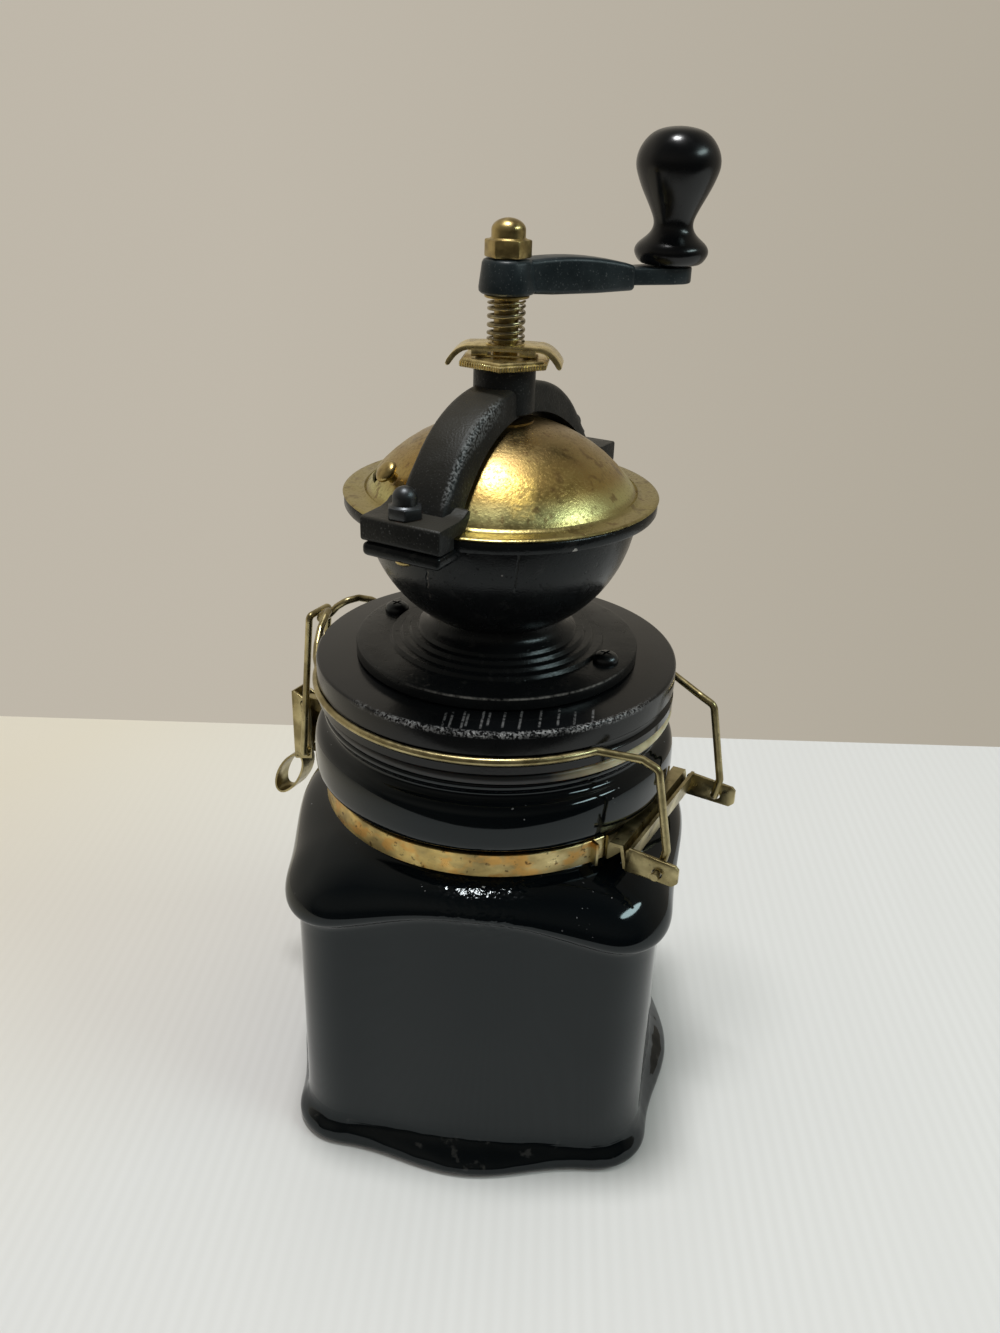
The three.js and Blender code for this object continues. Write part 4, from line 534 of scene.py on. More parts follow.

# Lid: a turned wooden disc in black lacquer with a groove round its edge and a conical plug below. The
# front of the upper edge is grey, partly real wear and partly a painted highlight along the rim, and a
# row of straight scratches marks the front of its top.
LID = 54.0
LID_LOW, LID_TOP = 139.4, 152.3
PLUG_LOW = 132.4
BORE = 22.4


def minus(material, *values):
    return calculate(material, "SUBTRACT", *values)


def largest(material, *values):
    return calculate(material, "MAXIMUM", *values)


def off(material, value, middle):
    """How far a value lies from the middle one."""
    return calculate(material, "ABSOLUTE", minus(material, value, middle))


bm = bmesh.new()
turned(bm, [
    (BORE, PLUG_LOW), (39.2, PLUG_LOW), (39.6, 132.8), (43.1, 135.9), (43.9, LID_LOW), (53.4, LID_LOW),
    (LID, 139.9), (LID, 142.2), (53.7, 142.6), (52.9, 143.0), (52.7, 143.6), (52.7, 144.4), (52.9, 145.0),
    (53.7, 145.4), (LID, 145.8), (LID, 151.2), (53.85, 151.8), (53.4, 152.2), (52.8, LID_TOP),
    (BORE, LID_TOP),
], 144, closed=True)
LACQUER_BLACK = (0.0030, 0.0035, 0.0040)
lacquer = finish("black lacquer", LACQUER_BLACK, 0.3, Specular_IOR_Level=0.36)
x, y, z = place_of(lacquer)
reach = calculate(lacquer, "SQRT", plus(lacquer, times(lacquer, x, x), times(lacquer, y, y)))
# Grey at the front of the rim: real wear together with a painted highlight along the rim's edge.
rim_wear_and_highlight = times(
    lacquer, between(lacquer, reach, 0.0524, 0.0532), between(lacquer, z, 0.1506, 0.1514),
    between(lacquer, off(lacquer, azimuth_of(lacquer), math.radians(-80)), 0.95, 0.42),
    patches(lacquer, 3.2, 5.0, 0.36, 0.56), patches(lacquer, 0.6, 3.0, 0.45, 0.57, shift=6.0))
scratches = []
for across, near, far in (
    (-8.8, 51.8, 43.6), (-7.0, 52.6, 43.0), (-3.8, 52.6, 42.2), (-2.8, 51.4, 43.0), (1.2, 51.8, 41.0),
    (2.9, 50.0, 41.6), (6.9, 50.4, 40.0), (11.3, 50.6, 38.8), (16.5, 48.8, 38.4), (21.3, 47.0, 36.4),
    (25.6, 45.8, 37.6), (30.4, 43.2, 35.4),
):
    half_long = (near - far) / 2000
    scratches.append(times(
        lacquer, between(lacquer, off(lacquer, x, across / 1000), 0.00042, 0.00018),
        between(lacquer, off(lacquer, y, -(near + far) / 2000), half_long, half_long - 0.0015)))
marks = times(
    lacquer, largest(lacquer, *scratches), between(lacquer, z, 0.1515, 0.152),
    patches(lacquer, 1.3, 3.0, 0.34, 0.56, shift=1.0))
wear_and_rim_highlight = largest(lacquer, times(lacquer, rim_wear_and_highlight, 0.8), times(lacquer, marks, 0.36))
# Paints the rim's wear and painted highlight, and the scratches, grey.
painted(lacquer, LACQUER_BLACK, (wear_and_rim_highlight, 1.0, (0.30, 0.30, 0.30)))
satin = patches(lacquer, 11.0, 4.0, 0.3, 0.7, 0.13, 0.24, shift=8.0)
low_edge = between(lacquer, z, 0.1425, 0.1415)
drive(lacquer, "Roughness", minus(lacquer, satin, times(lacquer, low_edge, 0.07)))
fine = times(lacquer, clouds(lacquer, 1.2, 3.0), 0.25)
bumpy(lacquer, plus(lacquer, fine, times(lacquer, wear_and_rim_highlight, 0.6)), 0.06)
made("lid_disc", bm, "lid_and_mill", lacquer, "lid")


# Gasket: a moulded ring of translucent rubber, yellowed with age, pressed between the lid and the
# canister's mouth. It sits a little towards the hinge, where it peeps out. Away from the hinge it is
# painted near black, a painted shade under the lid's edge.
def polar(reach, degrees, height=0.0):
    angle = math.radians(degrees)
    return Vector((reach * math.cos(angle), reach * math.sin(angle), height))


bm = bmesh.new()
turned(bm, [
    (45.9, 136.2), (52.3, 136.2), (52.9, 136.5), (53.2, 137.2), (53.2, 138.3), (52.9, 138.8), (52.4, 139.1),
    (45.9, 139.1),
], 128, closed=True)
bmesh.ops.translate(bm, vec=polar(0.8, HINGE), verts=bm.verts)
rubber = finish("yellowed rubber", (0.42, 0.36, 0.21), 0.38, Subsurface_Weight=0.15)
grime = patches(rubber, 6.0, 4.0, 0.35, 0.7)
pale = mixed(rubber, grime, (0.62, 0.53, 0.33), (0.40, 0.32, 0.17))
# Near black away from the hinge is painted shade under the lid's edge; the pale rubber shows towards the
# hinge.
lit_side = between(rubber, off(rubber, azimuth_of(rubber), math.radians(-8)), 1.05, 0.55)
painted(rubber, (0.007, 0.0075, 0.008), (lit_side, 1.0, pale))
bumpy(rubber, clouds(rubber, 2.0, 3.0), 0.05)
made("seal_ring", bm, "lid_and_mill", rubber, "lid_gasket")

# Mill body: one iron casting in satin black paint, with a stepped base plate, a waisted throat, the
# hopper bowl and two bolting ears. The paint is chipped at the rim, with a crack and a seam below it,
# and a painted highlight runs along the front of the base plate's upper edge.
PLATE_LOW, PLATE_TOP = 152.6, 156.5
BOWL_CENTRE, BOWL_OUTSIDE, BOWL_INSIDE = 199.0, 39.0, 35.8
BOWL_TOP = 201.0
SPIDER_LOW, SPIDER_TOP = 154.6, 160.6
YOKE = 67.0
CAST_TINT = (0.92, 0.98, 1.0, 1.0)


def spot(material, where, size, ragged=0.35):
    """A patch at a point, its edge ragged, 0 outside it and 1 inside."""
    edge = times(material, clouds(material, size * 0.9, 4.0), size * ragged / 1000)
    reach = plus(material, away_from(material, where), edge)
    return between(material, reach, size / 1000, size * 0.85 / 1000)


cast = finish("painted cast iron", (0.004, 0.0045, 0.005), 0.38, Specular_IOR_Level=0.22,
              Specular_Tint=CAST_TINT)
_, _, z = place_of(cast)
azimuth = azimuth_of(cast)
cracks = []
for top_angle, top, low_angle, low, wide in (
    (-77.2, 195.0, -77.8, 185.6, 0.009), (-112.6, 194.0, -118.2, 178.5, 0.012),
):
    path = between(cast, z, low / 1000, top / 1000, math.radians(low_angle), math.radians(top_angle))
    waver = times(cast, minus(cast, clouds(cast, 2.6, 2.0), 0.5), 0.03)
    off_path = calculate(cast, "ABSOLUTE", plus(cast, minus(cast, azimuth, path), waver))
    cracks.append(times(
        cast, between(cast, off_path, wide, wide * 0.3),
        between(cast, z, (low - 1) / 1000, (low + 2) / 1000), between(cast, z, 0.1965, 0.195)))
grain = times(cast, clouds(cast, 0.55, 3.0), 0.5)
swell = times(cast, clouds(cast, 9.0, 2.0, shift=5.0), 1.6)
pits = times(cast, patches(cast, 1.5, 3.0, 0.64, 0.74, shift=3.0), 0.8)
bumpy(cast, minus(cast, plus(cast, grain, swell), pits, times(cast, largest(cast, *cracks), 5.0)), 0.09)
# A painted highlight along the front of the base plate's upper edge.
plate_edge_highlight = times(
    cast, between(cast, off(cast, z, 0.15605), 0.00036, 0.0001),
    between(cast, off(cast, azimuth, math.radians(-72)), 0.9, 0.5),
    patches(cast, 1.6, 4.0, 0.34, 0.6, shift=17.0), 0.55)
chips_and_edge_highlight = largest(
    cast, spot(cast, polar(40.6, -78.5, 195.8), 2.2, 0.9), spot(cast, polar(43.9, -58.7, 198.2), 1.3, 0.8),
    spot(cast, polar(38.6, -83, 190.0), 0.9), plate_edge_highlight)
worn = patches(cast, 4.0, 5.0, 0.6, 0.72, shift=11.0)
# Paints the chips and the painted edge highlight pale grey.
painted(
    cast, mixed(cast, clouds(cast, 14.0, 4.0), (0.003, 0.0036, 0.004), (0.006, 0.0066, 0.0072)),
    (worn, 0.3, (0.03, 0.029, 0.027)), (chips_and_edge_highlight, 1.0, (0.30, 0.29, 0.27)))
roughened(cast, 0.17, 0.3, 7.0, shift=2.0)
bm = bmesh.new()
steps = []
for k, radius in enumerate((31.8, 28.8, 26.2, 23.6)):
    low = PLATE_TOP + 1.1 * k
    steps += [
        (radius + 0.25, low), (radius, low + 0.2), (radius - 0.25, low + 0.9), (radius - 0.5, low + 1.1),
    ]
turned(bm, [
    (17.3, 128.6), (21.8, 128.6), (22.0, 128.8), (22.0, PLATE_LOW), (41.6, PLATE_LOW), (42.0, 153.0),
    (42.0, 155.8), (41.8, 156.3), (41.3, PLATE_TOP), *steps, (21.6, 161.6), (20.4, 162.6), (19.8, 163.8),
    *arc((0, BOWL_CENTRE), BOWL_OUTSIDE, -59.8, -2.4, 18), (43.2, 197.7), (44.0, 198.0), (44.3, 198.5),
    (44.3, 200.6), (44.0, BOWL_TOP), (36.2, BOWL_TOP), *arc((0, BOWL_CENTRE), BOWL_INSIDE, 3.2, -62.8, 18),
    (16.4, 147.2), (17.3, 147.2),
], 144, closed=True)
for turn in (YOKE, YOKE + 180):
    brick(bm, 37.0, 52.3, -11.6, 11.6, 195.5, 199.2, turn, 1.4, 4)
for turn in (0, 120, 240):
    brick(bm, 6.0, 17.5, -1.6, 1.6, SPIDER_LOW, SPIDER_TOP, turn, 0.4)
turned(bm, [(5.7, SPIDER_LOW), (7.7, SPIDER_LOW), (7.7, SPIDER_TOP), (5.7, SPIDER_TOP)], 48, closed=True)
made("mill_casting", bm, "lid_and_mill", cast, "mill_body", 38)

# Base screws: blackened wood screws with cross-slotted pan heads, one each side of the throat, driven
# through the base plate into the lid.
SCREW_REACH = 35.5
SCREW_TOP = 2.6
dark_steel = finish("blackened steel", (0.075, 0.08, 0.085), 0.4, 1.0)
roughened(dark_steel, 0.34, 0.5, 2.0, 3.0)
bumpy(dark_steel, clouds(dark_steel, 0.8, 3.0), 0.02)
black_screw = finish("black screw", (0.055, 0.06, 0.064), 0.32, 1.0)
for name, degrees in (("right", -22), ("left", 158)):
    bm = bmesh.new()
    turned(bm, [
        (0, -11), (0.9, -9.5), (1.5, -7.5), (1.7, -6.9), (1.7, 0), (3.7, 0), (3.72, 0.9), (3.45, 1.5),
        (2.9, 2.1), (2.1, 2.5), (1.3, SCREW_TOP),
    ], 40)
    recess = [vert for vert in bm.verts if vert.co.z > SCREW_TOP - 0.01 and vert.co.xy.length > 1.2]
    recess.sort(key=lambda vert: math.atan2(vert.co.y, vert.co.x))
    floor = []
    for vert in recess:
        cross = abs(math.cos(2 * math.atan2(vert.co.y, vert.co.x) + 1.1)) ** 3
        vert.co.xy = vert.co.xy.normalized() * (0.55 + 1.35 * cross)
        floor.append(bm.verts.new((vert.co.x * 0.55, vert.co.y * 0.55, SCREW_TOP / 2)))
    loft(bm, [recess, floor])
    bm.faces.new(floor)
    bmesh.ops.translate(bm, vec=polar(SCREW_REACH, degrees, PLATE_TOP), verts=bm.verts)
    made("plate_screw_" + name, bm, "lid_and_mill", black_screw, "base_screw_" + name, 40)

# Dome: spun sheet brass with a turned-out flange and a window, tarnished in brown clouds, with a painted
# highlight patch on its front and a lighter, greener painted sheen round its lower part.
DOME_HALF, DOME_RISE, DOME_FOOT = 39, 21.2, 201.3
DOME_RADIUS = (DOME_HALF ** 2 + DOME_RISE ** 2) / (2 * DOME_RISE)
DOME_CENTRE = DOME_FOOT + DOME_RISE - DOME_RADIUS
aged_brass = finish("tarnished brass", (0.44, 0.33, 0.11), 0.3, 1.0)
_, _, z = place_of(aged_brass)
haze = patches(aged_brass, 26.0, 3.0, 0.38, 0.64, shift=1.5)
crown = plus(
    aged_brass, between(aged_brass, z, 0.2105, 0.2215),
    times(aged_brass, minus(aged_brass, haze, 0.5), 0.35))
flecks = patches(aged_brass, 0.8, 3.0, 0.5, 0.68, shift=2.5)
mottle = patches(aged_brass, 7.0, 5.0, 0.38, 0.64, shift=21.0, coarse=0.62)
# A band round the lower dome painted lighter and greener: a painted sheen.
painted_lower_sheen = times(aged_brass, between(aged_brass, z, 0.209, 0.2055), between(aged_brass, z, 0.2033, 0.2042))
speckle = patches(aged_brass, 1.1, 5.0, 0.42, 0.6, shift=8.0)
# A speckled painted highlight patch on the dome's front; it also sets roughness and grain.
painted_highlight_patch = times(
    aged_brass, spot(aged_brass, (6.5, -30.0, 210.5), 19.0, 1.3),
    plus(aged_brass, 0.35, times(aged_brass, speckle, 0.65)))
painted(
    aged_brass, mixed(aged_brass, haze, (0.45, 0.315, 0.10), (0.52, 0.41, 0.15)),
    (mottle, 0.55, (0.34, 0.205, 0.07)),
    # The lower dome painted greener, part of the painted sheen.
    (between(aged_brass, z, 0.2075, 0.2035), 0.7, (0.42, 0.37, 0.155)),
    (between(aged_brass, crown, 0.0, 1.0), 0.8, (0.37, 0.26, 0.12)),
    (painted_lower_sheen, 0.75, (0.66, 0.62, 0.27)),
    (patches(aged_brass, 4.5, 5.0, 0.58, 0.68, shift=6.5), 0.55, (0.15, 0.09, 0.035)),
    (painted_highlight_patch, 1.0, (0.76, 0.54, 0.15)),
    (patches(aged_brass, 3.4, 3.0, 0.62, 0.69, shift=14.0), 0.6, (0.20, 0.11, 0.045)),
    (flecks, 0.35, (0.15, 0.105, 0.04)))
drive(aged_brass, "Roughness", plus(
    aged_brass, patches(aged_brass, 11.0, 3.0, 0.35, 0.68, 0.25, 0.36, shift=3.5),
    times(aged_brass, flecks, 0.12), times(aged_brass, mottle, 0.05), times(aged_brass, painted_highlight_patch, 0.09)))
coarser = plus(aged_brass, 1.0, times(aged_brass, painted_highlight_patch, 1.6))
grain = times(aged_brass, clouds(aged_brass, 0.7, 3.0), coarser)
bumpy(aged_brass, plus(aged_brass, grain, times(aged_brass, flecks, 0.5)), 0.03)


def on_dome(reach, proud=0.0):
    return (reach, DOME_CENTRE + math.sqrt((DOME_RADIUS + proud) ** 2 - reach ** 2))


def keep_out(bm, start, end, inner, outer):
    """Takes out the faces whose middle lies in a sector, degrees and reach."""
    gone = []
    for face in bm.faces:
        middle = face.calc_center_median()
        degrees = math.degrees(math.atan2(middle.y, middle.x))
        if (degrees - start) % 360 < end - start and inner < middle.xy.length < outer:
            gone.append(face)
    bmesh.ops.delete(bm, geom=gone, context="FACES")


def thicken(bm, thickness):
    bmesh.ops.recalc_face_normals(bm, faces=bm.faces)
    if sum(face.normal.z * face.calc_area() for face in bm.faces) < 0:
        bmesh.ops.reverse_faces(bm, faces=bm.faces)
    bmesh.ops.solidify(bm, geom=bm.faces, thickness=thickness)


bm = bmesh.new()
turned(bm, [on_dome(r) for r in (4.8, 8.0, 12.0, 16.0, 20.0, 23.5, 27.0, 30.0, 33.0, 36.2, 37.4, 38.2)] + [
    (38.6, 202.9), (39.2, 202.3), (40.0, 202.1), (43.6, 202.1), (44.3, 202.0), (44.6, 201.7),
], 144, start=-192.0)
keep_out(bm, -192, -137, 20.0, 36.2)
thicken(bm, 0.8)
made("dome_shell", bm, "lid_and_mill", aged_brass, "dome_cover", 40)

# Hopper door: a brass sector that slides over the dome, hung from a collar round the shaft, with a
# round brass button to push it by.
DOOR_PROUD, DOOR_THICK = 0.3, 0.5
BUTTON_REACH, BUTTON_AZIMUTH = 33.2, -142
bm = bmesh.new()
door_reaches = (4.8, 6.5, 8.6, 12.0, 16.0, 20.0, 24.0, 28.0, 31.0, 33.5, 34.6, 35.0)
turned(bm, [on_dome(r, DOOR_PROUD) for r in door_reaches], 144, start=-200.0)
keep_out(bm, -130, 160, 8.6, 40.0)
turned(bm, [on_dome(r, DOOR_PROUD) for r in (35.0, 36.4, 36.9)], 11, start=-157.5, turn=27.5)
bmesh.ops.remove_doubles(bm, verts=bm.verts, dist=0.001)
thicken(bm, DOOR_THICK)
made("hopper_slide", bm, "dome_door", aged_brass, "hopper_door", 40)
bm = bmesh.new()
turned(bm, [
    (0, 0), (1.5, 0), (1.5, 1.4), (1.9, 1.7), (2.5, 2.0), (3.1, 2.5), (3.3, 3.0), (3.25, 3.5), (2.8, 4.05),
    (1.9, 4.45), (0.9, 4.63), (0, 4.65),
], 40)
bmesh.ops.translate(bm, vec=(0, 0, DOME_RADIUS + 1.1), verts=bm.verts)
spun(bm, bm.verts, math.degrees(math.asin(BUTTON_REACH / DOME_RADIUS)), "Y")
spun(bm, bm.verts, BUTTON_AZIMUTH)
bmesh.ops.translate(bm, vec=(0, 0, DOME_CENTRE), verts=bm.verts)
bright_brass = finish("handled brass", (0.40, 0.29, 0.10), 0.24, 1.0)
dirt = patches(bright_brass, 2.4, 4.0, 0.4, 0.68)
painted(bright_brass, (0.50, 0.385, 0.16), (dirt, 0.6, (0.15, 0.095, 0.035)))
roughened(bright_brass, 0.25, 0.42, 3.0, shift=4.0)
bumpy(bright_brass, clouds(bright_brass, 1.2, 3.0), 0.02)
made("door_button", bm, "dome_door", bright_brass, "door_knob", 50)

# Yoke: an iron bridge over the dome, cast with the shaft's upper bearing and two thick ears. It has a
# speckled painted highlight along one edge of the front leg, fine painted glints, and top faces painted
# lighter as light from above, and the paint has rubbed reddish beside the front nut.
NUT_REACH, NUT_ASIDE = 47.2, 1.5
LEG_FOOT = 202.4
LEG_HALF = 6.7
LEG_SPAN, EAR_SPAN = 40.5, 45.0
DOOR_CLEARANCE = 0.6
UNDER = DOME_RADIUS + DOOR_PROUD + DOOR_THICK + DOOR_CLEARANCE
ARCH_RISE, ARCH_HALF, ARCH_POWER = 55.8, 48.4, 2.3
HUB_LOW, HUB_TOP = 224.0, 236.4


def nut_place(turn, height=0.0):
    """The middle of an ear's nut: both nuts stand a little to the same side of the yoke."""
    aside = NUT_ASIDE if turn == YOKE else -NUT_ASIDE
    return Matrix.Rotation(math.radians(turn), 3, "Z") @ Vector((NUT_REACH, aside, height))


iron = finish("rubbed cast iron", (0.006, 0.0062, 0.006), 0.5, Specular_IOR_Level=0.2,
              Specular_Tint=CAST_TINT)
x, y, z = place_of(iron)
# How far each face points up: top faces are painted lighter, a painted light from above.
facing = put(iron, "TexCoord").outputs["Normal"]
upward = put(iron, "VectorMath", {0: facing, 1: (0, 0, 1)}, operation="DOT_PRODUCT").outputs["Value"]
across, along = math.cos(math.radians(YOKE)), math.sin(math.radians(YOKE))
leg_side = minus(iron, times(iron, y, across), times(iron, x, along))
# A speckled painted highlight along one edge of the front leg.
leg_edge_highlight = times(
    iron, between(iron, off(iron, leg_side, -0.0061), 0.0010, 0.0003), between(iron, z, 0.2075, 0.2115),
    between(iron, y, -0.012, -0.02), patches(iron, 0.7, 4.0, 0.44, 0.6, shift=4.0))
rust = times(
    iron, spot(iron, nut_place(YOKE + 180, 206.0), 9.0, 1.1),
    patches(iron, 1.6, 5.0, 0.42, 0.58, shift=2.0))
painted(
    iron, mixed(iron, clouds(iron, 10.0, 4.0), (0.0045, 0.005, 0.0052), (0.012, 0.0115, 0.0102)),
    # Fine pale specks: painted glints.
    (patches(iron, 0.5, 1.0, 0.66, 0.72, shift=8.0), 0.5, (0.08, 0.08, 0.078)),
    # Top faces painted lighter: painted light from above.
    (between(iron, upward, 0.45, 0.85), 1.0, (0.027, 0.0245, 0.0195)),
    (leg_edge_highlight, 1.0, (0.15, 0.155, 0.155)), (rust, 0.75, (0.13, 0.05, 0.035)))
roughened(iron, 0.34, 0.5, 5.0, shift=2.0)
bumpy(iron, plus(iron, times(iron, clouds(iron, 6.0, 3.0), 1.2), clouds(iron, 0.6, 2.0)), 0.1)
inner_span = math.sqrt(UNDER ** 2 - (LEG_FOOT - DOME_CENTRE) ** 2)
outline = [(-EAR_SPAN, LEG_FOOT)]
for k in range(33):
    out = LEG_SPAN * (k / 16 - 1)
    height = ARCH_RISE * (1 - (abs(out) / ARCH_HALF) ** ARCH_POWER) ** (1 / ARCH_POWER)
    outline.append((out, DOME_CENTRE + height))
outline.append((EAR_SPAN, LEG_FOOT))
for k in range(33):
    out = inner_span * (1 - k / 16)
    outline.append((out, DOME_CENTRE + math.sqrt(UNDER ** 2 - out ** 2)))
bm = bmesh.new()
side = bm.faces.new([bm.verts.new((out, -LEG_HALF, height)) for out, height in outline])
pushed(bm, [side], (0, 2 * LEG_HALF, 0))


def above_arch(point):
    return (point.xz - Vector((0, DOME_CENTRE))).length - UNDER


ridges = [edge for edge in bm.edges if abs(edge.verts[0].co.y - edge.verts[1].co.y) < 0.01
          and above_arch(edge.verts[0].co) > 0.5 and min(v.co.z for v in edge.verts) > LEG_FOOT + 0.1]
softened(bm, ridges, 2.2, 4)
for vert in bm.verts:
    near = 1 - min(1, max(0, above_arch(vert.co) / 5.5))
    vert.co.y *= 1 + 0.4 * near * min(1, abs(vert.co.x) / 38) ** 1.6
turned(bm, [
    (3.75, HUB_LOW), (8.1, HUB_LOW), (8.5, 224.4), (8.5, 235.4), (8.2, 236.1), (7.6, HUB_TOP),
    (3.75, HUB_TOP),
], 64, closed=True)
for turn in (0, 180):
    flat_sheet(bm, [
        (EAR_SPAN, LEG_FOOT), (40.4, LEG_FOOT), (38.9, 203.9), (37.6, 205.6), (37.2, 207.6), (38.4, 208.1),
        (40.4, 206.9), (43.0, 206.3), (51.9, 206.1), (52.4, 205.3), (52.4, 200.2), (51.7, 199.5),
        (EAR_SPAN, 199.5),
    ], -11.8, 11.8, turn, soft=1.1)
spun(bm, bm.verts, YOKE)
made("bridge_casting", bm, "lid_and_mill", iron, "yoke", 35)


# Ear bolts and their crown nuts: brass bolts come up through the bowl's ears, and blackened steel
# crown nuts clamp the yoke down on them.
def crown_nut(bm, corners, hex_height, dome_height, base, start, cap):
    """A domed nut standing on base, its hexagon's corners rounded off above and below."""
    verts = bmesh.ops.create_circle(bm, segments=6, radius=corners / 2, cap_ends=True)["verts"]
    spun(bm, verts, start)
    top = pushed(bm, verts[0].link_faces[:], (0, 0, hex_height))
    softened(bm, {edge for vert in verts + top for edge in vert.link_edges}, corners * 0.035)
    straight = dome_height * 0.42
    turned(bm, [(cap + 0.6, hex_height), (cap, hex_height + 0.4)]
           + [(cap * math.cos(a), hex_height + straight + (dome_height - straight) * math.sin(a))
              for a in (math.pi / 2 * k / 10 for k in range(11))], 48)
    bmesh.ops.translate(bm, vec=(0, 0, base), verts=bm.verts)


for name, turn in (("back", YOKE), ("front", YOKE + 180)):
    bm = bmesh.new()
    crown_nut(bm, 9.6, 3.0, 5.0, 206.2, 10.0, 3.15)
    bmesh.ops.translate(bm, vec=nut_place(turn), verts=bm.verts)
    made("ear_nut_" + name, bm, "lid_and_mill", dark_steel, "yoke_nut_" + name, 40)
    bm = bmesh.new()
    turned(bm, [
        (0, 193.4), (1.4, 193.45), (2.1, 193.8), (2.6, 194.3), (2.7, 194.7), (2.7, 195.2), (1.9, 195.2),
        (1.9, 211.2), (1.6, 211.4), (0, 211.4),
    ], 36)
    bmesh.ops.translate(bm, vec=nut_place(turn), verts=bm.verts)
    made("ear_bolt_" + name, bm, "lid_and_mill", bright_brass, "yoke_bolt_" + name, 40)

# Adjusting nut: a six-sided brass plate, its lower edge coined with fine serrations, that sets how far
# the inner burr is drawn up.
SIDE_TEETH = 17
TOOTH_DEPTH = 0.28
bm = bmesh.new()
corners = [polar(13.6, 60 * k + 30) for k in range(6)]
sides = list(zip(corners, corners[1:] + corners[:1]))
coined = []
for a, b in sides:
    inward = -(a + b).normalized()
    for n in range(SIDE_TEETH):
        for part, depth in ((0.15, 0.0), (0.5, 0.0), (0.65, TOOTH_DEPTH), (0.95, TOOTH_DEPTH)):
            coined.append(a.lerp(b, (n + part) / SIDE_TEETH) + inward * depth)
plain = [a.lerp(b, n / 8) for a, b in sides for n in range(8)]


def plate_rings(bm, outline, levels):
    """Loops of vertices, each the outline drawn in by a share and set at a height."""
    return [[bm.verts.new((p.x * share, p.y * share, height)) for p in outline] for share, height in levels]


loops = plate_rings(bm, coined, ((0.965, 236.7), (0.99, 236.95), (0.99, 238.0), (0.965, 238.25)))
loft(bm, loops)
loft(bm, plate_rings(bm, plain, ((0.93, 238.2), (0.93, 238.7), (0.9, 239.0), (0.276, 239.0))))
bm.faces.new(loops[0])
bm.faces.new(loops[-1])
olive_brass = finish("olive brass", (0.42, 0.35, 0.16), 0.26, 1.0)
dirt = patches(olive_brass, 2.0, 4.0, 0.46, 0.72, shift=3.0)
painted(olive_brass, (0.86, 0.71, 0.35), (dirt, 0.7, (0.38, 0.28, 0.12)))
roughened(olive_brass, 0.18, 0.38, 2.6)
bumpy(olive_brass, clouds(olive_brass, 0.9, 3.0), 0.02)
made("adjusting_plate", bm, "adjuster", olive_brass, "adjusting_nut", 30)

# Clip: a bowed brass strip on the shaft whose bent tips drop over the adjusting nut and keep it from
# creeping while the crank turns. A folded skirt with a slot stiffens each long edge.
CLIP_HALF = 5.2
SKIRT_HALF, SLOT_HALF = 8.6, 4.3
bow = [(15.7, 237.0), (15.3, 238.1), (14.6, 239.1), (13.7, 240.1), (12.6, 241.0), (11.4, 241.65),
       (10.0, 242.05), (7.0, 242.15), (0.0, 242.2)]
under = [(0.0, 241.0), (7.0, 240.95), (9.6, 240.85), (10.8, 240.5), (11.8, 239.9), (12.8, 239.0),
         (13.7, 237.9), (14.5, 236.7), (15.2, 236.5)]
bm = bmesh.new()
bow_left = [(-out, up) for out, up in bow[-2::-1]]
under_left = [(-out, up) for out, up in under[::-1]]
flat_sheet(bm, bow + bow_left + under_left + under[1:], -CLIP_HALF, CLIP_HALF, soft=0.25)
for side in (-4.75, 4.75):
    for start, end, low, high in (
        (-SKIRT_HALF, SKIRT_HALF, 240.7, 241.3), (-SKIRT_HALF, -SLOT_HALF, 239.3, 240.9),
        (SLOT_HALF, SKIRT_HALF, 239.3, 240.9), (-SKIRT_HALF, SKIRT_HALF, 239.3, 239.75),
    ):
        brick(bm, start, end, side - 0.5, side + 0.5, low, high, 0.0, 0.1)
turned(bm, [(3.7, 241.9), (5.4, 241.9), (5.4, 242.3), (5.1, 242.45), (3.7, 242.45)], 40, closed=True)
made("locking_clip", bm, "rotor", olive_brass, "nut_clip", 40)

# Crank spring: an open coil of plated wire round the shaft, its lower coils closer. It pushes the
# crank up and takes the rattle out of the shaft.
COILS, COIL_STEPS, COIL_RADIUS, COIL_WIRE = 6.0, 32, 4.75, 0.45
SPRING_LOW, SPRING_HEIGHT = 242.5, 11.0
coil_steel = finish("plated spring wire", (0.52, 0.46, 0.33), 0.24, 1.0)
dirt = patches(coil_steel, 2.5, 3.0, 0.4, 0.7)
painted(coil_steel, (0.40, 0.345, 0.21), (dirt, 1.0, (0.15, 0.115, 0.06)))
bm = bmesh.new()
disc = bmesh.ops.create_circle(bm, segments=12, radius=COIL_WIRE)["verts"]
spun(bm, disc, 90, "X")
bmesh.ops.translate(bm, vec=(COIL_RADIUS, 0, SPRING_LOW + COIL_WIRE), verts=disc)
total = int(COILS * COIL_STEPS)
climb_per_step = (SPRING_HEIGHT - 2 * COIL_WIRE) / total
bmesh.ops.spin(bm, geom=disc + bm.edges[:], cent=(0, 0, 0), axis=(0, 0, 1), dvec=(0, 0, climb_per_step),
               angle=2 * math.pi * COILS, steps=total, use_merge=False, use_duplicate=False)
bmesh.ops.holes_fill(bm, edges=bm.edges, sides=12)
for vert in bm.verts:
    climb = (vert.co.z - SPRING_LOW) / SPRING_HEIGHT
    closer = 0.055 * math.sin(2 * math.pi * min(1.0, max(0.0, climb)))
    vert.co.z = SPRING_LOW + SPRING_HEIGHT * (climb - closer)
made("coil_spring", bm, "rotor", coil_steel, "crank_spring", 60)

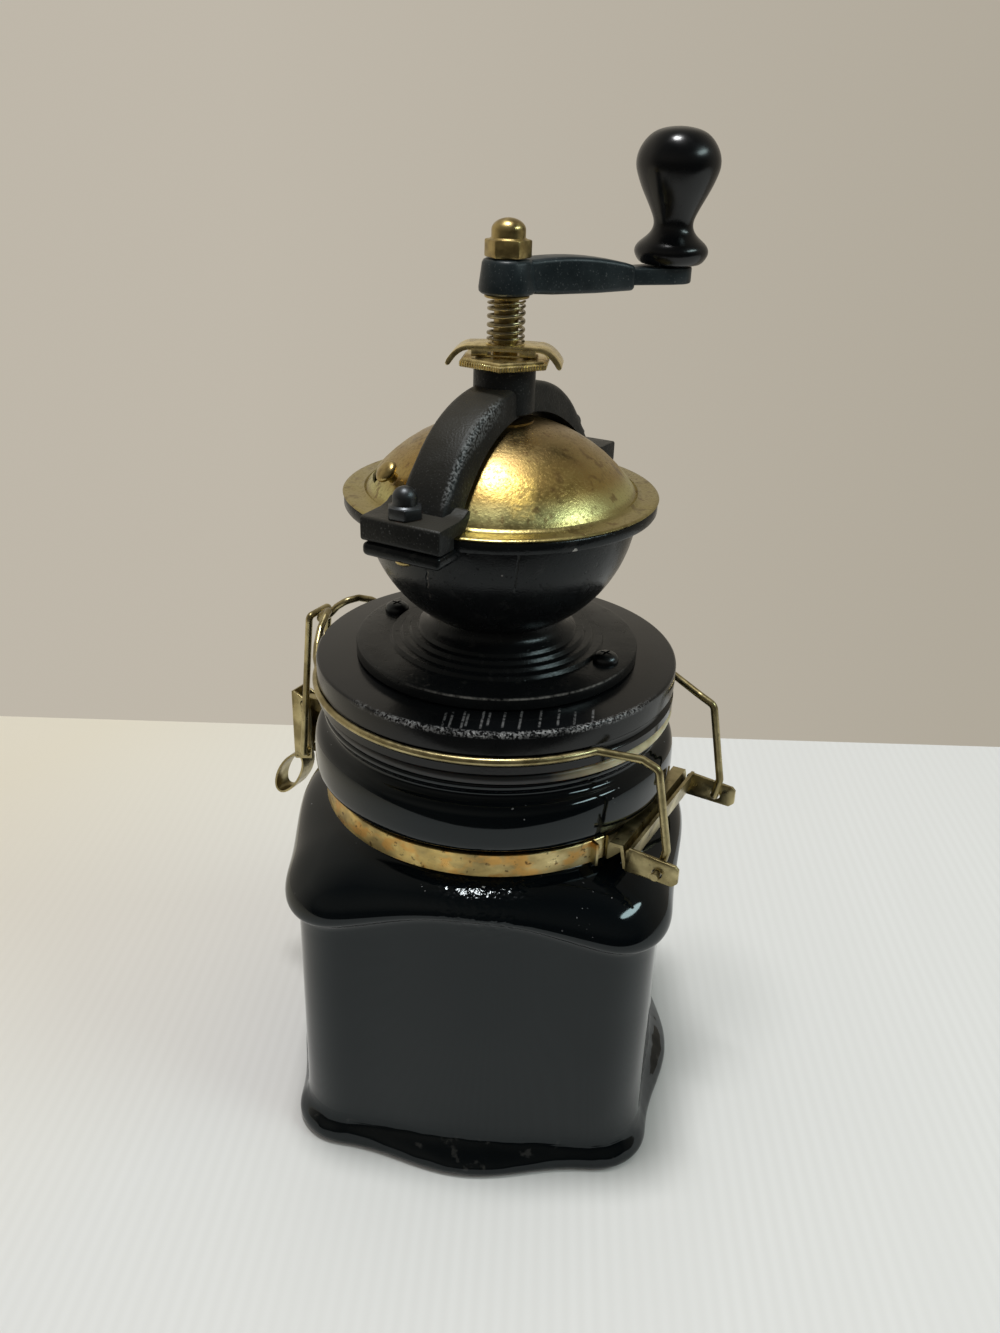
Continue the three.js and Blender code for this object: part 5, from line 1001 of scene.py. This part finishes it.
# Crank: an iron casting in blue-black paint, its arm bowed on top and stepped down to a lug for the
# knob, with a thin brass washer under the hub.
CRANK = 32.5
CRANK_LOW = 255.1
ARM_END, ARM_HALF = 37.4, 4.3
KNOB_REACH = 50.8
bm = bmesh.new()
turned(bm, [
    (3.65, 254.0), (5.8, 254.0), (6.0, 254.2), (6.0, 254.6), (5.8, 254.8), (3.65, 254.8),
], 48, closed=True)
made("thrust_washer", bm, "rotor", bright_brass, "crank_washer", 30)
bm = bmesh.new()
outline = [(0, CRANK_LOW + 0.2), (12, CRANK_LOW - 0.5), (25, CRANK_LOW - 0.6), (ARM_END, CRANK_LOW - 0.3),
           (ARM_END, CRANK_LOW + 6.2)]
end, middle, hub = [Vector((out, CRANK_LOW + up)) for out, up in ((37.2, 6.4), (18.6, 10.8), (0, 7.8))]
for t in (k / 12 for k in range(1, 13)):
    outline.append(tuple(end * (1 - t) ** 2 + middle * (2 * t * (1 - t)) + hub * t ** 2))
side = bm.faces.new([bm.verts.new((out, -ARM_HALF, up)) for out, up in outline])
pushed(bm, [side], (0, 2 * ARM_HALF, 0))
rims = [edge for edge in bm.edges
        if edge.calc_face_angle(0.0) > 0.6 and max(v.co.x for v in edge.verts) > 0.5]
softened(bm, rims, 1.3, 4)
turned(bm, [(radius, CRANK_LOW + up) for radius, up in (
    (3.65, 0), (7.0, 0), (7.5, 0.5), (7.6, 1.4), (6.8, 7.6), (6.4, 8.3), (5.8, 8.6), (3.65, 8.6),
)], 64, closed=True)
lug = [bm.verts.new((out, aside, CRANK_LOW + 1.1)) for out, aside in (
    (34.2, -3.5), (47.8, -6.0), *arc((KNOB_REACH, 0), 6.2, -90, 90, 16)[1:-1], (47.8, 6.0), (34.2, 3.5),
)]
top = pushed(bm, [bm.faces.new(lug)], (0, 0, 4.4))
rims = {edge for vert in lug + top for edge in vert.link_edges}
softened(bm, [edge for edge in rims if abs(edge.verts[0].co.z - edge.verts[1].co.z) < 0.01], 0.5)
spun(bm, bm.verts, CRANK)
crank_paint = finish("crank paint", (0.014, 0.021, 0.024), 0.38, Specular_IOR_Level=0.3)
wash = patches(crank_paint, 9.0, 4.0, 0.35, 0.65)
tone = mixed(crank_paint, wash, (0.0045, 0.0095, 0.012), (0.0165, 0.024, 0.027))
dust = patches(crank_paint, 0.55, 2.0, 0.64, 0.7, shift=6.0)
painted(crank_paint, tone, (dust, 0.5, (0.11, 0.12, 0.12)))
roughened(crank_paint, 0.3, 0.42, 6.0, shift=3.0)
grain = times(crank_paint, clouds(crank_paint, 0.8, 2.0), 0.3)
bumpy(crank_paint, plus(crank_paint, clouds(crank_paint, 7.0, 2.0), grain), 0.08)
made("crank_casting", bm, "rotor", crank_paint, "crank_arm", 35)

# Crown nut: polished brass on the shaft's thread, browned in the corners of its hexagon. It holds the
# crank down on its washer and spring.
bm = bmesh.new()
crown_nut(bm, 12.6, 4.5, 5.2, 264.0, 32.5, 4.5)
made("shaft_crown_nut", bm, "rotor", bright_brass, "crank_nut", 40)

# Knob: turned beech in gloss black lacquer, free to spin on a steel pin that is riveted into the
# crank's lug.
KNOB_LOW = 260.9
BORE_HALF, BORE_DEPTH = 2.4, 24.6
bm = bmesh.new()
turned(bm, [
    (BORE_HALF, 0), (7.8, 0), (8.8, 0.7), (9.7, 1.8), (10.25, 3.0), (10.3, 4.0), (9.7, 5.3), (8.4, 6.4),
    (7.0, 7.5), (6.0, 8.6), (5.5, 9.8), (5.4, 10.8), (5.6, 12.0), (6.3, 13.6), (7.4, 15.8), (8.6, 18.0),
    (9.7, 20.2), (10.6, 22.4), (11.3, 24.4), (11.5, 26.0), (11.3, 27.8), (10.6, 29.7), (9.5, 31.4),
    (8.1, 32.9), (6.4, 34.0), (4.4, 34.65), (2.2, 35.0), (0, 35.1),
], 96)
turned(bm, [(BORE_HALF, 0), (BORE_HALF, BORE_DEPTH), (0, BORE_DEPTH)], 32)
bmesh.ops.translate(bm, vec=polar(KNOB_REACH, CRANK, KNOB_LOW), verts=bm.verts)
knob_gloss = finish("gloss knob lacquer", (0.0022, 0.0026, 0.0032), 0.3, Specular_IOR_Level=0.34)
roughened(knob_gloss, 0.18, 0.3, 6.0)
bumpy(knob_gloss, clouds(knob_gloss, 14.0, 2.0), 0.12)
flowed(made("turned_knob", bm, "crank_knob", knob_gloss, "knob", 50))
bm = bmesh.new()
turned(bm, [(0, -4.1), (3.5, -4.1), (2.0, -2.3), (2.0, 23.2), (0, 23.2)], 32)
bmesh.ops.translate(bm, vec=polar(KNOB_REACH, CRANK, KNOB_LOW), verts=bm.verts)
made("knob_rivet", bm, "rotor", dark_steel, "knob_pin", 30)

# Shaft and burrs: a brass-plated shaft through the bearing, a bush in the throat's spider, and plain
# steel burrs in the collar under the lid, with a nut that holds the inner burr.
burr_metal = finish("burr steel", (0.22, 0.22, 0.23), 0.38, 1.0)
roughened(burr_metal, 0.28, 0.5, 2.0)
bumpy(burr_metal, clouds(burr_metal, 0.8, 3.0), 0.03)
for node, material in (
    ("drive_shaft", bright_brass), ("shaft_bush", bright_brass), ("inner_burr", burr_metal),
    ("outer_burr", burr_metal), ("burr_nut", dark_steel),
):
    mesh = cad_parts[node].data
    mesh.materials.clear()
    mesh.materials.append(material)

# Table: a pale painted top with fine ribs, drawn as faint stripes of painted shade, warmer at the left,
# whose far edge shows behind the canister.
VIEW_TURN = 5.28
TABLE_HALF, TABLE_BACK, TABLE_FRONT = 2.5, 0.222, -0.30
RIB_PITCH = 0.0042
bm = bmesh.new()
bmesh.ops.create_grid(bm, x_segments=1, y_segments=1, size=1.0)
for vert in bm.verts:
    vert.co = (vert.co.x * TABLE_HALF, TABLE_BACK if vert.co.y > 0 else TABLE_FRONT, 0.0)
spun(bm, bm.verts, VIEW_TURN)
table_mesh = bpy.data.meshes.new("table_top")
bm.to_mesh(table_mesh)
bm.free()
table_paint = finish("pale table", (0.68, 0.675, 0.655), 0.5)
table_mesh.materials.append(table_paint)
x, y, _ = place_of(table_paint)
rib_place = plus(table_paint, x, times(table_paint, y, 0.06))
wave = calculate(table_paint, "SINE", times(table_paint, rib_place, 2 * math.pi / RIB_PITCH))
# The ribs are painted as faint stripes of shade, not raised.
rib_shade_stripes = times(
    table_paint, between(table_paint, wave, -1.0, 1.0),
    patches(table_paint, 30.0, 3.0, 0.3, 0.7, 0.4, 1.0, stretch=(1, 6, 1)))
paper = mixed(table_paint, rib_shade_stripes, (0.672, 0.668, 0.65), (0.70, 0.697, 0.68))
warm = between(table_paint, minus(table_paint, times(table_paint, y, 0.5), x), 0.06, 0.32)
painted(table_paint, paper, (warm, 1.0, (0.71, 0.655, 0.54)))
table = bpy.data.objects.new("table_top", table_mesh)
bpy.context.scene.collection.objects.link(table)

# Room: a warm grey wall that the camera and the polished pieces see, darker overhead, behind the
# camera and on the right, and an even grey light for everything else.
world = bpy.data.worlds.new("room")
bpy.context.scene.world = world
world.use_nodes = True
rightward, backward, upward = place_of(world, "Generated")
overhead = between(world, upward, 0.42, 0.9, 1.0, 0.36)
ahead = between(world, backward, -0.5, 0.3, 0.08, 1.0)
ahead = largest(world, ahead, between(world, upward, 0.0, 0.25, 0.08, 0.26))
aside = between(world, rightward, -0.9, 0.9, 1.4, 0.6)
wall_tone = mixed(world, between(world, rightward, -0.3, 0.3), (0.52, 0.475, 0.40), (0.435, 0.395, 0.325))
path = put(world, "LightPath").outputs
light = calculate(world, "MINIMUM", times(world, overhead, ahead, aside), 1.0)
light = largest(world, light, path["Is Camera Ray"])
wall = put(world, "Background", {"Color": wall_tone, "Strength": light})
sky = world.node_tree.nodes["Background"]
sky.inputs["Color"].default_value = (0.43, 0.42, 0.40, 1.0)
sky.inputs["Strength"].default_value = 1.0
seen = largest(world, path["Is Camera Ray"], path["Is Glossy Ray"], path["Is Transmission Ray"])
shown = put(world, "MixShader", {0: seen, 1: sky.outputs[0], 2: wall.outputs[0]})
world.node_tree.links.new(shown.outputs[0], world.node_tree.nodes["World Output"].inputs["Surface"])

# Lamps: a round one nearly overhead, and a long, cooler one high up that lights the mill from the
# right. Both are aimed at the lid.
LAMP_AIM = Vector((0, 0, 0.15))
for name, place, width, depth, power, tint in (
    ("ceiling", (-0.13, 0.0, 1.98), 0.38, 0.38, 22.5, (1.0, 1.0, 1.0)),
    ("right", (1.12, -0.26, 1.06), 0.8, 0.2, 5.2, (0.8, 1.0, 1.0)),
):
    light = bpy.data.lights.new(name, "AREA")
    light.shape = "ELLIPSE"
    light.size = width
    light.size_y = depth
    light.energy = power
    light.color = tint
    lamp = bpy.data.objects.new(name, light)
    lamp.location = place
    lamp.rotation_euler = (LAMP_AIM - Vector(place)).to_track_quat("-Z", "Y").to_euler()
    bpy.context.scene.collection.objects.link(lamp)

# Camera: held above the canister and tipped down, as the photograph was taken. Its place is a distance
# and a direction from the canister's axis, and a height, in metres.
SENSOR = 36.0
FOCAL_PIXELS, PHOTO_PIXELS = 1149.0, 1333.0
CAMERA_AWAY, CAMERA_HEIGHT, CAMERA_AZIMUTH = 0.3154, 0.2981, -84.5
TIPPED_DOWN, LEANING = 25.78, 1.77
lens = bpy.data.cameras.new("camera")
lens.sensor_width = SENSOR
lens.sensor_fit = "AUTO"
lens.lens = FOCAL_PIXELS * SENSOR / PHOTO_PIXELS
lens.clip_start = 0.01
camera = bpy.data.objects.new("camera", lens)
camera.matrix_world = (
    Matrix.Translation(polar(CAMERA_AWAY, CAMERA_AZIMUTH, CAMERA_HEIGHT))
    @ Matrix.Rotation(math.radians(VIEW_TURN), 4, "Z")
    @ Matrix.Rotation(math.radians(90 - TIPPED_DOWN), 4, "X")
    @ Matrix.Rotation(math.radians(LEANING), 4, "Z")
)
bpy.context.scene.collection.objects.link(camera)
bpy.context.scene.camera = camera
bpy.context.scene.view_settings.view_transform = "Standard"
